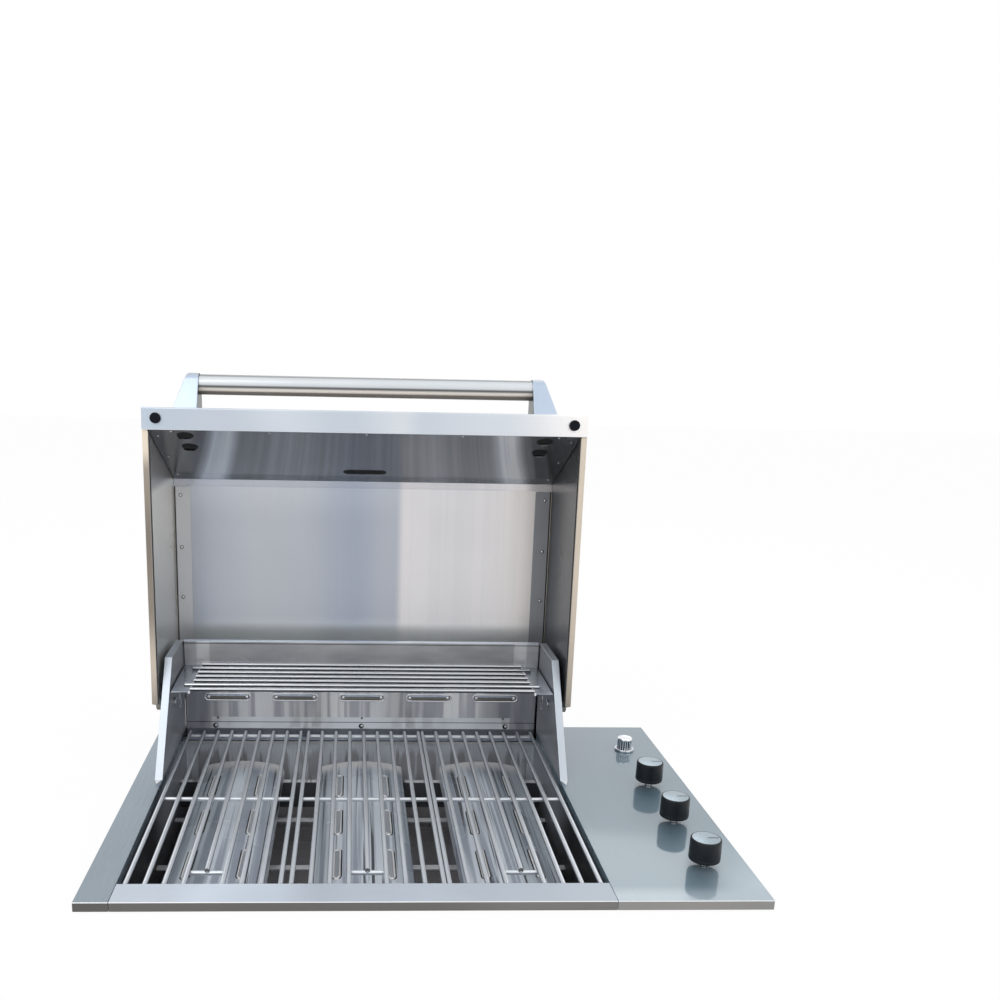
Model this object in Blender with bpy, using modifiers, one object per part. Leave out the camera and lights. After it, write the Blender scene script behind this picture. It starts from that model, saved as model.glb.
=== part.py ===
"""Built-in three-burner gas grill with a side control panel, modelled in metres.

+Z is up and -Y is the front. The origin is the middle of the underside of the
firebox. The hood is modelled in its shut position, in the frame of its hinge
pins, and its parent empty turns it open.
"""
import math

import bmesh
import bpy
from mathutils import Matrix, Vector

# Overall sizes of the flange, its cut-out and the body
OPENING_W = 0.614
OPENING_D = 0.5424
LEFT_TRIM_W = 0.0424
PANEL_W = 0.1938
FRONT_STRIP_D = 0.0441
REAR_TRIM_D = 0.0093
FLANGE_EDGE_H = 0.0126
BODY_H = 0.215
SHEET = 0.0012
THICK_SHEET = 0.0016
GAP = 0.0003
OVERRUN = 0.002
BOW_STEPS = 4
ROUND_STEPS = 28
SMALL_ROUND_STEPS = 14

# Edges worked out from them
X_IN_L = -OPENING_W / 2
X_IN_R = OPENING_W / 2
X_LEFT = X_IN_L - LEFT_TRIM_W
X_RIGHT = X_IN_R + PANEL_W
Y_IN_F = -OPENING_D / 2
Y_IN_R = OPENING_D / 2
Y_FRONT = Y_IN_F - FRONT_STRIP_D
Y_REAR = Y_IN_R + REAR_TRIM_D
Z_TOP = BODY_H
Z_COUNTER = Z_TOP - FLANGE_EDGE_H
SKIRT = SHEET + GAP
FLANGE_D = Y_REAR - Y_FRONT

for old in list(bpy.data.objects):
    bpy.data.objects.remove(old, do_unlink=True)

parts = bpy.data.collections.new("gas_grill")
bpy.context.scene.collection.children.link(parts)


# Modelling helpers
def material(name, colour, metallic, roughness):
    """A Principled material with one colour."""
    made = bpy.data.materials.new(name)
    made.use_nodes = True
    shader = made.node_tree.nodes["Principled BSDF"]
    shader.inputs["Base Color"].default_value = (*colour, 1.0)
    shader.inputs["Metallic"].default_value = metallic
    shader.inputs["Roughness"].default_value = roughness
    return made


def new_object(name, mesh):
    """An object in the part's collection."""
    made = bpy.data.objects.new(name, mesh)
    parts.objects.link(made)
    return made


def bake(piece):
    """Replace a piece by its evaluated mesh, welded and facing outward."""
    bpy.context.view_layer.update()
    shape = piece.evaluated_get(bpy.context.evaluated_depsgraph_get())
    mesh = bpy.data.meshes.new_from_object(shape)
    work = bmesh.new()
    work.from_mesh(mesh)
    bmesh.ops.remove_doubles(work, verts=work.verts, dist=GAP / 100)
    bmesh.ops.recalc_face_normals(work, faces=work.faces)
    work.to_mesh(mesh)
    work.free()
    name, matrix = piece.name, piece.matrix_world.copy()
    bpy.data.objects.remove(piece, do_unlink=True)
    made = new_object(name, mesh)
    made.matrix_world = matrix
    return made


def block(name, x, y, z):
    """A box between two values along each axis."""
    size = [side[1] - side[0] for side in (x, y, z)]
    middle = [(side[1] + side[0]) / 2 for side in (x, y, z)]
    work = bmesh.new()
    place = Matrix.Translation(middle) @ Matrix.Diagonal((*size, 1.0))
    bmesh.ops.create_cube(work, size=1.0, matrix=place)
    mesh = bpy.data.meshes.new(name)
    work.to_mesh(mesh)
    work.free()
    return new_object(name, mesh)


def pan(name, x, y, z, open_up, thickness=SHEET):
    """An open box of sheet: its top or its bottom face is left out."""
    piece = block(name, x, y, z)
    work = bmesh.new()
    work.from_mesh(piece.data)
    side = 1.0 if open_up else -1.0
    lost = [face for face in work.faces if face.normal.z * side > 0.5]
    bmesh.ops.delete(work, geom=lost, context="FACES_ONLY")
    work.to_mesh(piece.data)
    work.free()
    sheet = piece.modifiers.new("sheet", "SOLIDIFY")
    sheet.thickness = thickness
    sheet.offset = -1.0
    sheet.use_even_offset = True
    return bake(piece)


FACING = {
    "X": Matrix(((0, 0, 1), (1, 0, 0), (0, 1, 0))),
    "Y": Matrix(((1, 0, 0), (0, 0, -1), (0, 1, 0))),
    "Z": Matrix.Identity(3),
}


def prism(name, outline, axis, low, high):
    """A flat outline, (y,z), (x,z) or (x,y), drawn out along its axis."""
    curve = bpy.data.curves.new(name, "CURVE")
    curve.dimensions = "2D"
    curve.fill_mode = "BOTH"
    curve.extrude = (high - low) / 2
    line = curve.splines.new("POLY")
    line.points.add(len(outline) - 1)
    for point, (a, b) in zip(line.points, outline):
        point.co = (a, b, 0.0, 1.0)
    line.use_cyclic_u = True
    piece = new_object(name, curve)
    turn = FACING[axis].to_4x4()
    middle = (low + high) / 2
    along = turn @ Vector((0.0, 0.0, 1.0))
    reach = middle * (-1.0 if axis == "Y" else 1.0)
    piece.matrix_world = Matrix.Translation(along * reach) @ turn
    made = bake(piece)
    made.data.transform(made.matrix_world)
    made.matrix_world = Matrix.Identity(4)
    return made


def rod(name, points, radius, resolution=2):
    """A round bar along a run of points, with filled ends."""
    curve = bpy.data.curves.new(name, "CURVE")
    curve.dimensions = "3D"
    curve.bevel_depth = radius
    curve.bevel_resolution = resolution
    curve.use_fill_caps = True
    line = curve.splines.new("POLY")
    line.points.add(len(points) - 1)
    for point, place in zip(line.points, points):
        point.co = (*place, 1.0)
    return bake(new_object(name, curve))


def turned(name, profile, steps=ROUND_STEPS):
    """A profile of (radius, height) turned about Z, outer side first."""
    mesh = bpy.data.meshes.new(name)
    spots = [(radius, 0.0, height) for radius, height in profile]
    links = [(i, i + 1) for i in range(len(spots) - 1) if profile[i][0] + profile[i + 1][0] > 0.0]
    mesh.from_pydata(spots, links, [])
    piece = new_object(name, mesh)
    screw = piece.modifiers.new("turn", "SCREW")
    screw.steps = steps
    screw.render_steps = steps
    screw.use_merge_vertices = True
    screw.merge_threshold = GAP / 100
    return bake(piece)


def move(piece, place, axis="Z"):
    """Turn a piece from +Z to an axis and shift it, in its own mesh."""
    turns = {"Z": Matrix.Identity(4), "X": Matrix.Rotation(math.radians(90), 4, "Y"),
             "Y": Matrix.Rotation(math.radians(-90), 4, "X")}
    piece.data.transform(Matrix.Translation(place) @ turns[axis])
    return piece


def combine(piece, others, operation):
    """Join or cut a piece with other pieces, which are then removed."""
    for other in others:
        other.hide_render = True
        other.display_type = "WIRE"
        step = piece.modifiers.new(operation.lower(), "BOOLEAN")
        step.operation = operation
        step.solver = "EXACT"
        step.object = other
    made = bake(piece)
    for other in others:
        bpy.data.objects.remove(other, do_unlink=True)
    return made


def cut(piece, cutters):
    return combine(piece, cutters, "DIFFERENCE")


def weld(piece, others):
    return combine(piece, others, "UNION")


def disc_cutter(radius, place, length, axis="Z", steps=SMALL_ROUND_STEPS):
    """A cylinder about a place, for cutting a round hole."""
    half = length / 2
    shape = turned("cutter", [(0.0, half), (radius, half), (radius, -half), (0.0, -half)], steps)
    return move(shape, place, axis)


def slot_outline(length, width, steps=BOW_STEPS):
    """A slot with round ends about (0, 0), its length along the first axis."""
    radius = width / 2
    reach = length / 2 - radius
    turn = math.pi / steps
    right = [(reach + radius * math.cos(i * turn - math.pi / 2),
              radius * math.sin(i * turn - math.pi / 2)) for i in range(steps + 1)]
    return right + [(-a, -b) for a, b in right]


def shifted(outline, a, b):
    return [(x + a, y + b) for x, y in outline]


def offset_path(path, distance):
    """A path moved sideways to its left, with its corners mitred."""
    spots = [Vector(point) for point in path]
    runs = [(b - a).normalized() for a, b in zip(spots, spots[1:])]
    sides = [Vector((-run.y, run.x)) for run in runs]
    moved = [spots[0] + sides[0] * distance]
    for spot, one, two in zip(spots[1:-1], sides, sides[1:]):
        middle = (one + two).normalized()
        moved.append(spot + middle * (distance / middle.dot(one)))
    moved.append(spots[-1] + sides[-1] * distance)
    return [tuple(spot) for spot in moved]


def rounded(path, radius, steps=BOW_STEPS, closed=False):
    """A path whose corners are drawn as arcs."""
    spots = [Vector(point) for point in path]
    count = len(spots)
    made = []
    for i, spot in enumerate(spots):
        if not closed and i in (0, count - 1):
            made.append(tuple(spot))
            continue
        back = (spots[i - 1] - spot).normalized()
        ahead = (spots[(i + 1) % count] - spot).normalized()
        half = back.angle(ahead) / 2
        reach = radius / math.tan(half)
        centre = spot + (back + ahead).normalized() * (radius / math.sin(half))
        start = spot + back * reach - centre
        end = spot + ahead * reach - centre
        sweep = start.angle_signed(end)
        for k in range(steps + 1):
            arm = start.copy()
            arm.rotate(Matrix.Rotation(-sweep * k / steps, 2))
            made.append(tuple(centre + arm))
    return made


def folded(name, path, thickness, axis, low, high):
    """Folded sheet: the path is one face and the sheet lies to its left."""
    outline = list(path) + offset_path(path, thickness)[::-1]
    return prism(name, outline, axis, low, high)


def finish(piece, name, look, parent=None, smooth=30):
    """Name a piece, give it its material and hang it on its parent."""
    piece.name = name
    piece.data.name = name
    piece.data.materials.clear()
    piece.data.materials.append(material(name, *look))
    piece.data.shade_smooth()
    piece.data.set_sharp_from_angle(angle=math.radians(smooth))
    if parent is not None:
        piece.parent = parent
    return piece


def axis_empty(name, place, parent=None):
    """An empty on a joint's axis."""
    made = bpy.data.objects.new(name, None)
    parts.objects.link(made)
    made.location = place
    if parent is not None:
        made.parent = parent
    return made


# Finishes: colour, metallic share and roughness share
satin_steel = ((0.60, 0.64, 0.67), 1.0, 0.32)
bright_steel = ((0.72, 0.75, 0.78), 1.0, 0.18)
dark_steel = ((0.16, 0.17, 0.18), 1.0, 0.5)
rod_steel = ((0.62, 0.63, 0.64), 1.0, 0.3)
chrome = ((0.80, 0.82, 0.84), 1.0, 0.08)
brass = ((0.72, 0.55, 0.26), 1.0, 0.35)
black_plastic = ((0.02, 0.02, 0.022), 0.0, 0.4)
silver_cap = ((0.62, 0.64, 0.66), 0.8, 0.35)
black_rubber = ((0.02, 0.02, 0.02), 0.0, 0.8)
dial_black = ((0.01, 0.015, 0.02), 0.0, 0.5)
needle_red = ((0.7, 0.08, 0.08), 0.0, 0.4)
lens_glass = ((0.9, 0.93, 0.95), 0.0, 0.05)

root = axis_empty("grill_origin", (0.0, 0.0, 0.0))

# Flange: four sheet pans that hang over the firebox walls
HEM_W = 0.010


def flange_pan(name, x, y, hems):
    """One part of the flange with return hems under its outer edges."""
    piece = pan(name, x, y, (Z_COUNTER, Z_TOP), False)
    low = (Z_COUNTER, Z_COUNTER + SHEET)
    strips = []
    inset = SHEET / 2
    if "left" in hems:
        strips.append(block("hem", (x[0] + inset, x[0] + HEM_W), (y[0] + inset, y[1] - inset), low))
    if "right" in hems:
        strips.append(block("hem", (x[1] - HEM_W, x[1] - inset), (y[0] + inset, y[1] - inset), low))
    if "front" in hems:
        strips.append(block("hem", (x[0] + inset, x[1] - inset), (y[0] + inset, y[0] + HEM_W), low))
    return weld(piece, strips) if strips else piece


def wall_notches(x):
    """Cutters where the firebox's front and rear walls pass an inner skirt."""
    made = []
    for y in (Y_IN_F - SKIRT - SHEET, Y_IN_R + SKIRT):
        made.append(block("notch", (x - OVERRUN, x + OVERRUN), (y - GAP, y + SHEET + GAP),
                          (Z_COUNTER - OVERRUN, Z_TOP - SHEET)))
    return made


left_trim = flange_pan("left_trim", (X_LEFT, X_IN_L), (Y_FRONT, Y_REAR), ("left",))
left_trim = cut(left_trim, wall_notches(X_IN_L))
finish(left_trim, "left_trim", satin_steel, root)

# Grate ledge along the inner edge of the front strip
GRATE_DROP = 0.0015
GRATE_ROD_R = 0.003
GRATE_ROD_Z = Z_TOP - GRATE_DROP - GRATE_ROD_R
LEDGE_W = 0.014
ledge_top = GRATE_ROD_Z - GRATE_ROD_R - GAP
STRIP_X = (X_IN_L + GAP, X_IN_R - GAP)
front_strip = flange_pan("front_strip", STRIP_X, (Y_FRONT, Y_IN_F), ("front",))
front_ledge = block("ledge", (X_IN_L + SHEET, X_IN_R - SHEET), (Y_IN_F - SHEET / 2, Y_IN_F + LEDGE_W),
                    (ledge_top - SHEET, ledge_top))
front_strip = cut(front_strip, wall_notches(X_IN_L) + wall_notches(X_IN_R))
front_strip = weld(front_strip, [front_ledge])
finish(front_strip, "front_strip", satin_steel, root)

REAR_X = (X_IN_L + GAP, X_IN_R - GAP)
rear_trim = flange_pan("rear_trim", REAR_X, (Y_IN_R, Y_REAR), ())
rear_trim = cut(rear_trim, wall_notches(X_IN_L) + wall_notches(X_IN_R))
finish(rear_trim, "rear_trim", satin_steel, root)

# Knobs, valves and igniter stand in one row on the control panel
KNOB_FROM_RIGHT = 0.0591
KNOB_ROW_SHARES = (0.1492, 0.3647, 0.5779)
IGNITER_SHARE = 0.8206
KNOB_X = X_RIGHT - KNOB_FROM_RIGHT
KNOB_Y = [Y_FRONT + FLANGE_D * share for share in KNOB_ROW_SHARES]
IGNITER_Y = Y_FRONT + FLANGE_D * IGNITER_SHARE
STEM_R = 0.0045
STEM_HOLE_CLEARANCE = 0.001
BUTTON_R = 0.012
COLLAR_WALL = 0.0016
BARREL_R = BUTTON_R + GAP + COLLAR_WALL
panel_x = (X_IN_R, X_RIGHT)
control_panel = flange_pan("control_panel", panel_x, (Y_FRONT, Y_REAR), ("right", "front"))
holes = [disc_cutter(STEM_R + STEM_HOLE_CLEARANCE, (KNOB_X, y, Z_TOP), SHEET * 4) for y in KNOB_Y]
holes.append(disc_cutter(BARREL_R + STEM_HOLE_CLEARANCE, (KNOB_X, IGNITER_Y, Z_TOP), SHEET * 4))
control_panel = cut(control_panel, holes + wall_notches(X_IN_R))
finish(control_panel, "control_panel", satin_steel, root)

# Drip tray, which slides out through the front wall of the firebox
TRAY_SIDE_ROOM = 0.012
TRAY_H = 0.032
TRAY_FRONT_REACH = 0.012
TRAY_REAR_ROOM = 0.020
TRAY_ROOM = 0.0015
TRAY_PULL_W = 0.120
TRAY_PULL_D = 0.016
shell_x = (X_IN_L - SKIRT - SHEET, X_IN_R + SKIRT + SHEET)
shell_y = (Y_IN_F - SKIRT - SHEET, Y_IN_R + SKIRT + SHEET)
shell_top = Z_TOP - SKIRT
tray_x = (X_IN_L + TRAY_SIDE_ROOM, X_IN_R - TRAY_SIDE_ROOM)
tray_y = (shell_y[0] - TRAY_FRONT_REACH, Y_IN_R - TRAY_REAR_ROOM)
tray_z = (SHEET + GAP, SHEET + GAP + TRAY_H)
drip_tray = pan("drip_tray", tray_x, tray_y, tray_z, True)
pull = block("pull", (-TRAY_PULL_W / 2, TRAY_PULL_W / 2),
             (tray_y[0] - TRAY_PULL_D, tray_y[0] + SHEET / 2),
             (tray_z[1] - SHEET * 2, tray_z[1] - SHEET))
drip_tray = weld(drip_tray, [pull])
finish(drip_tray, "drip_tray", bright_steel, root)

# Burner rows: three burners, their tents and the grates over them
BURNER_PITCH_SHARE = 0.3337
BURNER_R = 0.012
BURNER_WALL = 0.0015
BURNER_DROP = 0.100
BURNER_FRONT_ROOM = 0.040
BURNER_REAR_ROOM = 0.060
BURNER_MOUTH_R = 0.015
BURNER_MOUTH_L = 0.020
BURNER_X = [OPENING_W * BURNER_PITCH_SHARE * k for k in (-1, 0, 1)]
BURNER_Z = Z_TOP - BURNER_DROP
burner_y = (Y_IN_F + BURNER_FRONT_ROOM, Y_IN_R - BURNER_REAR_ROOM)
burner_l = burner_y[1] - burner_y[0]
inner_r = BURNER_R - BURNER_WALL
burner_profile = [(0.0, burner_l), (BURNER_R, burner_l), (BURNER_R, BURNER_MOUTH_L),
                  (BURNER_MOUTH_R, 0.0), (BURNER_MOUTH_R - BURNER_WALL, 0.0),
                  (inner_r, BURNER_MOUTH_L), (inner_r, burner_l - BURNER_WALL),
                  (0.0, burner_l - BURNER_WALL)]
for side, x in zip(("left", "middle", "right"), BURNER_X):
    burner = move(turned("burner", burner_profile, SMALL_ROUND_STEPS), (x, burner_y[0], BURNER_Z), "Y")
    finish(burner, "burner_" + side, rod_steel, root)

# Rails across the firebox: they hold the burners and carry the tents
RAIL_W = 0.012
RAIL_H = 0.046
RAIL_INSET = 0.012
TENT_DROP = 0.050
TENT_RISE = 0.022
TENT_FOOT_Z = Z_TOP - TENT_DROP - TENT_RISE
rail_top = TENT_FOOT_Z - GAP
wall_x = (X_IN_L - SKIRT + GAP, X_IN_R + SKIRT - GAP)
rail_y = (burner_y[0] + BURNER_MOUTH_L + RAIL_INSET, burner_y[1] - RAIL_INSET)
for side, y, way in (("front", rail_y[0], 1.0), ("rear", rail_y[1], -1.0)):
    rail_path = [(y - way * RAIL_W, rail_top), (y, rail_top), (y, rail_top - RAIL_H)]
    rail = folded("rail", rail_path, -THICK_SHEET * way, "X", wall_x[0], wall_x[1])
    bores = [disc_cutter(BURNER_R + GAP, (x, y, BURNER_Z), RAIL_W, "Y") for x in BURNER_X]
    finish(cut(rail, bores), "burner_rail_" + side, dark_steel, root)

# Two flat cross bars under the burners
BRACE_D = 0.012
BRACE_T = 0.003
BRACE_SHARES = (0.4918, 0.7637)
brace_top = BURNER_Z - BURNER_R - GAP
for side, share in zip(("front", "rear"), BRACE_SHARES):
    y = Y_FRONT + FLANGE_D * share
    brace = block("brace", wall_x, (y - BRACE_D / 2, y + BRACE_D / 2), (brace_top - BRACE_T, brace_top))
    finish(brace, "burner_brace_" + side, rod_steel, root)

# Flame tamers: low arched plates with side skirts and two rows of oval louvres
TENT_W = 0.140
TENT_SKIRT_LEAN = 0.0024
TENT_CROWN = 0.0098
TENT_ARCH_STEPS = 10
TENT_FRONT_ROOM = 0.022
TENT_REAR_ROOM = 0.034
TENT_T = 0.0012
LOUVRE_L = 0.078
LOUVRE_W = 0.0085
LOUVRE_X = 0.0375
LOUVRE_ROW_SHARES = (0.3177, 0.5376, 0.7615)
tent_corner = TENT_W / 2 - TENT_SKIRT_LEAN
crown_r = (tent_corner ** 2 + TENT_CROWN ** 2) / (TENT_CROWN * 2)
crown_half = math.asin(tent_corner / crown_r)
crown_turns = [crown_half * (1 - 2 * k / TENT_ARCH_STEPS) for k in range(TENT_ARCH_STEPS + 1)]
tent_top_z = TENT_FOOT_Z + TENT_RISE
tent_arch = [(crown_r * math.sin(turn), tent_top_z - crown_r * (1 - math.cos(turn))) for turn in crown_turns]
tent_path = [(TENT_W / 2, TENT_FOOT_Z)] + tent_arch + [(-TENT_W / 2, TENT_FOOT_Z)]
tent_y = (Y_IN_F + TENT_FRONT_ROOM, Y_IN_R - TENT_REAR_ROOM)
slot_z = (TENT_FOOT_Z + TENT_T * 2, tent_top_z + TENT_T * 2)
for side, x in zip(("left", "middle", "right"), BURNER_X):
    tent = folded("tent", shifted(tent_path, x, 0.0), -TENT_T, "Y", *tent_y)
    slots = []
    for way in (-1.0, 1.0):
        for share in LOUVRE_ROW_SHARES:
            middle = Y_FRONT + FLANGE_D * share
            outline = [(b + x + way * LOUVRE_X, a + middle) for a, b in slot_outline(LOUVRE_L, LOUVRE_W)]
            slots.append(prism("slot", outline[::-1], "Z", *slot_z))
    finish(cut(tent, slots), "flame_tamer_" + side, bright_steel, root)

# Cooking grates: welded rods with a finger gap at the front
GRATE_RODS = 9
GRATE_PITCH_SHARE = 0.0390
GRATE_PLACE_SHARES = (-0.3287, 0.0049, 0.3282)
GRATE_FRONT_ROOM = 0.0025
GRATE_REAR_ROOM = 0.005
GRATE_TURN = 0.006
GRATE_FOOT = 0.012
GRATE_SINK = 0.0012
GRATE_NOTCH_D = 0.0382
GRATE_CROSS_SHARES = (0.5203, 0.9537)
GRATE_CROSS_OVERHANG = 0.003
WALL_SKIN_Y = Y_IN_R - SKIRT
grate_y = (Y_IN_F + GRATE_FRONT_ROOM, WALL_SKIN_Y - GRATE_REAR_ROOM)
cross_z = GRATE_ROD_Z - GRATE_ROD_R * 2 + GRATE_SINK
rod_pitch = OPENING_W * GRATE_PITCH_SHARE
half_span = rod_pitch * (GRATE_RODS - 1) / 2


def grate_rod(x, front):
    """One bar, turned down at the rear to stand on the ledge."""
    return rod("rod", [(x, front, GRATE_ROD_Z), (x, grate_y[1] - GRATE_TURN, GRATE_ROD_Z),
                       (x, grate_y[1], GRATE_ROD_Z - GRATE_TURN),
                       (x, grate_y[1], GRATE_ROD_Z - GRATE_FOOT)], GRATE_ROD_R)


def cross_rod(x_from, x_to, y, z):
    return rod("rod", [(x_from, y, z), (x_to, y, z)], GRATE_ROD_R)


middle_rod = (GRATE_RODS - 1) // 2
bars = []
for k in range(GRATE_RODS):
    start = grate_y[0] + (GRATE_NOTCH_D if k == middle_rod else 0.0)
    bars.append(grate_rod(k * rod_pitch - half_span, start))
cross_reach = half_span + GRATE_CROSS_OVERHANG
crossings = [cross_rod(-cross_reach, cross_reach, Y_FRONT + FLANGE_D * share, cross_z)
             for share in GRATE_CROSS_SHARES]
crossings.append(cross_rod(-rod_pitch - GRATE_ROD_R, rod_pitch + GRATE_ROD_R,
                           grate_y[0] + GRATE_NOTCH_D + GRATE_ROD_R, cross_z))
grate = weld(crossings[0], bars)
grate = weld(grate, crossings[1:])
grate_mesh = grate.data
for side, share in zip(("left", "middle", "right"), GRATE_PLACE_SHARES):
    grate_axis = axis_empty("grate_" + side + "_axis", (OPENING_W * share, 0.0, GRATE_ROD_Z), root)
    copy = new_object("grate", grate_mesh.copy())
    copy.data.transform(Matrix.Translation((0.0, 0.0, -GRATE_ROD_Z)))
    finish(copy, "grate_" + side, rod_steel, grate_axis)
bpy.data.objects.remove(grate, do_unlink=True)

# Rear wall with its oval vents, top hem and the rear grate ledge
WALL_H = 0.157
WALL_HEM_D = 0.011
WALL_HEM_H = 0.010
VENTS = 5
VENT_PITCH_SHARE = 0.1900
VENT_L = 0.077
VENT_H = 0.012
VENT_UP = 0.057
wall_top = Z_TOP + WALL_H
wall_face = Y_IN_R - SKIRT
rear_ledge_top = GRATE_ROD_Z - GRATE_FOOT - GAP
wall_path = [(wall_face - LEDGE_W, rear_ledge_top), (wall_face, rear_ledge_top), (wall_face, wall_top),
             (wall_face + WALL_HEM_D, wall_top), (wall_face + WALL_HEM_D, wall_top - WALL_HEM_H)]
rear_wall = folded("rear_wall", wall_path, -SHEET, "X", X_IN_L + GAP, X_IN_R - GAP)
vents = []
for k in range(VENTS):
    x = (k - (VENTS - 1) / 2) * OPENING_W * VENT_PITCH_SHARE
    vents.append(prism("vent", shifted(slot_outline(VENT_L, VENT_H), x, Z_TOP + VENT_UP), "Y",
                       wall_face - OVERRUN, wall_face + SHEET + OVERRUN))
rear_wall = cut(rear_wall, vents)
finish(rear_wall, "rear_wall", satin_steel, root)

# Hood hinge: two pins through the wings
PIN_FROM_REAR = 0.1107
PIN_UP = 0.083
PIN_R = 0.004
PIN_HEAD_R = 0.0075
PIN_HEAD_T = 0.0025
LID_OPEN_ANGLE = math.radians(96)
pin_y = Y_REAR - PIN_FROM_REAR
pin_z = Z_TOP + PIN_UP

# Wings: hollow side shields, open underneath, that carry hood and rack
WING_T = 0.0115
WING_FOOT_FROM_REAR = 0.2388
WING_SHOULDER_FROM_REAR = 0.1164
WING_SHOULDER_H = 0.1598
WING_BACK_H = 0.158
WING_SKIN = 0.0012
KEYHOLE_FROM_REAR = 0.0568
KEYHOLE_UP = 0.068
KEYHOLE_L = 0.022
KEYHOLE_W = 0.0075
wing_z = Z_TOP + GAP
wing_foot = Y_REAR - WING_FOOT_FROM_REAR
wing_shoulder = Y_REAR - WING_SHOULDER_FROM_REAR
wing_outline = [(wing_foot, wing_z), (Y_IN_R, wing_z), (Y_IN_R, Z_TOP + WING_BACK_H),
                (wing_shoulder, Z_TOP + WING_SHOULDER_H)]
wing_run = wing_shoulder - wing_foot
wing_lean = wing_run / math.hypot(wing_run, WING_SHOULDER_H)
hollow_foot = WING_SKIN * (1.0 + wing_lean) / math.sqrt(1.0 - wing_lean ** 2)
wing_hollow = [(wing_foot + hollow_foot - OVERRUN * wing_run / WING_SHOULDER_H, wing_z - OVERRUN),
               (Y_IN_R - WING_SKIN, wing_z - OVERRUN),
               (Y_IN_R - WING_SKIN, Z_TOP + WING_BACK_H - WING_SKIN),
               (wing_shoulder + WING_SKIN / 2, Z_TOP + WING_SHOULDER_H - WING_SKIN)]
for side, inner, way in (("left", X_IN_L, -1.0), ("right", X_IN_R, 1.0)):
    faces = sorted((inner, inner + way * WING_T))
    wing = prism("wing", wing_outline, "X", *faces)
    hollow = prism("hollow", wing_hollow, "X", faces[0] + WING_SKIN, faces[1] - WING_SKIN)
    wing = cut(wing, [hollow])
    bore = disc_cutter(PIN_R + GAP, (inner, pin_y, pin_z), WING_T * 4, "X")
    keyhole = [(Y_REAR - KEYHOLE_FROM_REAR + b, Z_TOP + KEYHOLE_UP + a)
               for a, b in slot_outline(KEYHOLE_L, KEYHOLE_W)]
    key = prism("key", keyhole[::-1], "X", inner - OVERRUN, inner + OVERRUN)
    finish(cut(wing, [bore, key]), side + "_wing", satin_steel, root)

# Warming rack: rods welded on two end plates that lie on wing ledges
RACK_UP = 0.1195
RACK_RODS = 7
RACK_BACK_ROOM = 0.0008
RACK_ROD_R = 0.003
RACK_FIRST_FROM_REAR = 0.1478
RACK_PLATE_W = 0.0294
RACK_PLATE_FROM_REAR = 0.1529
RACK_SIDE_ROOM = 0.0012
RACK_LONG = (1, 5)
RACK_LONG_REACH = 0.015
RACK_SHORT_REACH = 0.003
RACK_SINK = 0.0008
plate_z = Z_TOP + RACK_UP - RACK_ROD_R * 2 + RACK_SINK
plate_y = (Y_REAR - RACK_PLATE_FROM_REAR, wall_face - GAP)
rack_first = Y_REAR - RACK_FIRST_FROM_REAR
rack_pitch = (wall_face - RACK_BACK_ROOM - RACK_ROD_R - rack_first) / (RACK_RODS - 1)
plate_out = X_IN_R - RACK_SIDE_ROOM
plate_in = plate_out - RACK_PLATE_W
rack_zero = (0.0, plate_y[0], plate_z)
plate_low = plate_z - THICK_SHEET
plates = [block("plate", sorted((way * plate_in, way * plate_out)), plate_y, (plate_low, plate_z))
          for way in (-1.0, 1.0)]
rods = []
for k in range(RACK_RODS):
    over = (RACK_PLATE_W - RACK_LONG_REACH) if k in RACK_LONG else RACK_SHORT_REACH
    reach = plate_in + over
    y = rack_first + k * rack_pitch
    z = plate_z + RACK_ROD_R - RACK_SINK
    rods.append(rod("rod", [(-reach, y, z), (reach, y, z)], RACK_ROD_R))
rack = weld(weld(plates[0], rods), [plates[1]])
rack.data.transform(Matrix.Translation(-Vector(rack_zero)))
rack_axis = axis_empty("warming_rack_axis", rack_zero, root)
finish(rack, "warming_rack", rod_steel, rack_axis)

RACK_LEDGE_W = 0.010
RACK_LEDGE_H = 0.012
ledge_y = (plate_y[0] + THICK_SHEET, plate_y[1] - SKIRT * 2)
for side, way in (("left", -1.0), ("right", 1.0)):
    face = way * (X_IN_R - GAP)
    high = plate_z - THICK_SHEET - GAP
    path = [(face - way * RACK_LEDGE_W, high), (face, high), (face, high - RACK_LEDGE_H)]
    ledge = folded("ledge", path, -way * SHEET, "Y", *ledge_y)
    finish(ledge, "rack_ledge_" + side, satin_steel, root)

# Control box: sheet pan under the control panel, beside the firebox
BOX_DEPTH = 0.150
BOX_EDGE_ROOM = 0.015
box_x = (shell_x[1] + GAP, X_RIGHT - BOX_EDGE_ROOM)
box_y = (Y_FRONT + BOX_EDGE_ROOM, Y_REAR - BOX_EDGE_ROOM)
box_z = (shell_top - BOX_DEPTH, shell_top)

# Valves: brass bodies under the panel, screwed on one gas manifold
VALVE_R = 0.012
VALVE_L = 0.040
VALVE_BORE_L = 0.018
VALVE_NECK_R = 0.0085
VALVE_NECK_L = 0.012
MANIFOLD_R = 0.008
MANIFOLD_END_ROOM = 0.030
INLET_R = 0.011
INLET_L = 0.022
INLET_SIDES = 6
INLET_ROOM = 0.004
valve_top = Z_TOP - SKIRT
valve_profile = [(STEM_R + GAP, 0.0), (VALVE_NECK_R, 0.0), (VALVE_NECK_R, -VALVE_NECK_L),
                 (VALVE_R, -VALVE_NECK_L), (VALVE_R, -VALVE_L), (0.0, -VALVE_L),
                 (0.0, -VALVE_BORE_L), (STEM_R + GAP, -VALVE_BORE_L), (STEM_R + GAP, 0.0)]
for k, y in enumerate(KNOB_Y):
    body = turned("valve", valve_profile, SMALL_ROUND_STEPS)
    finish(move(body, (KNOB_X, y, valve_top)), "valve_body_" + str(k + 1), brass, root)

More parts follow.
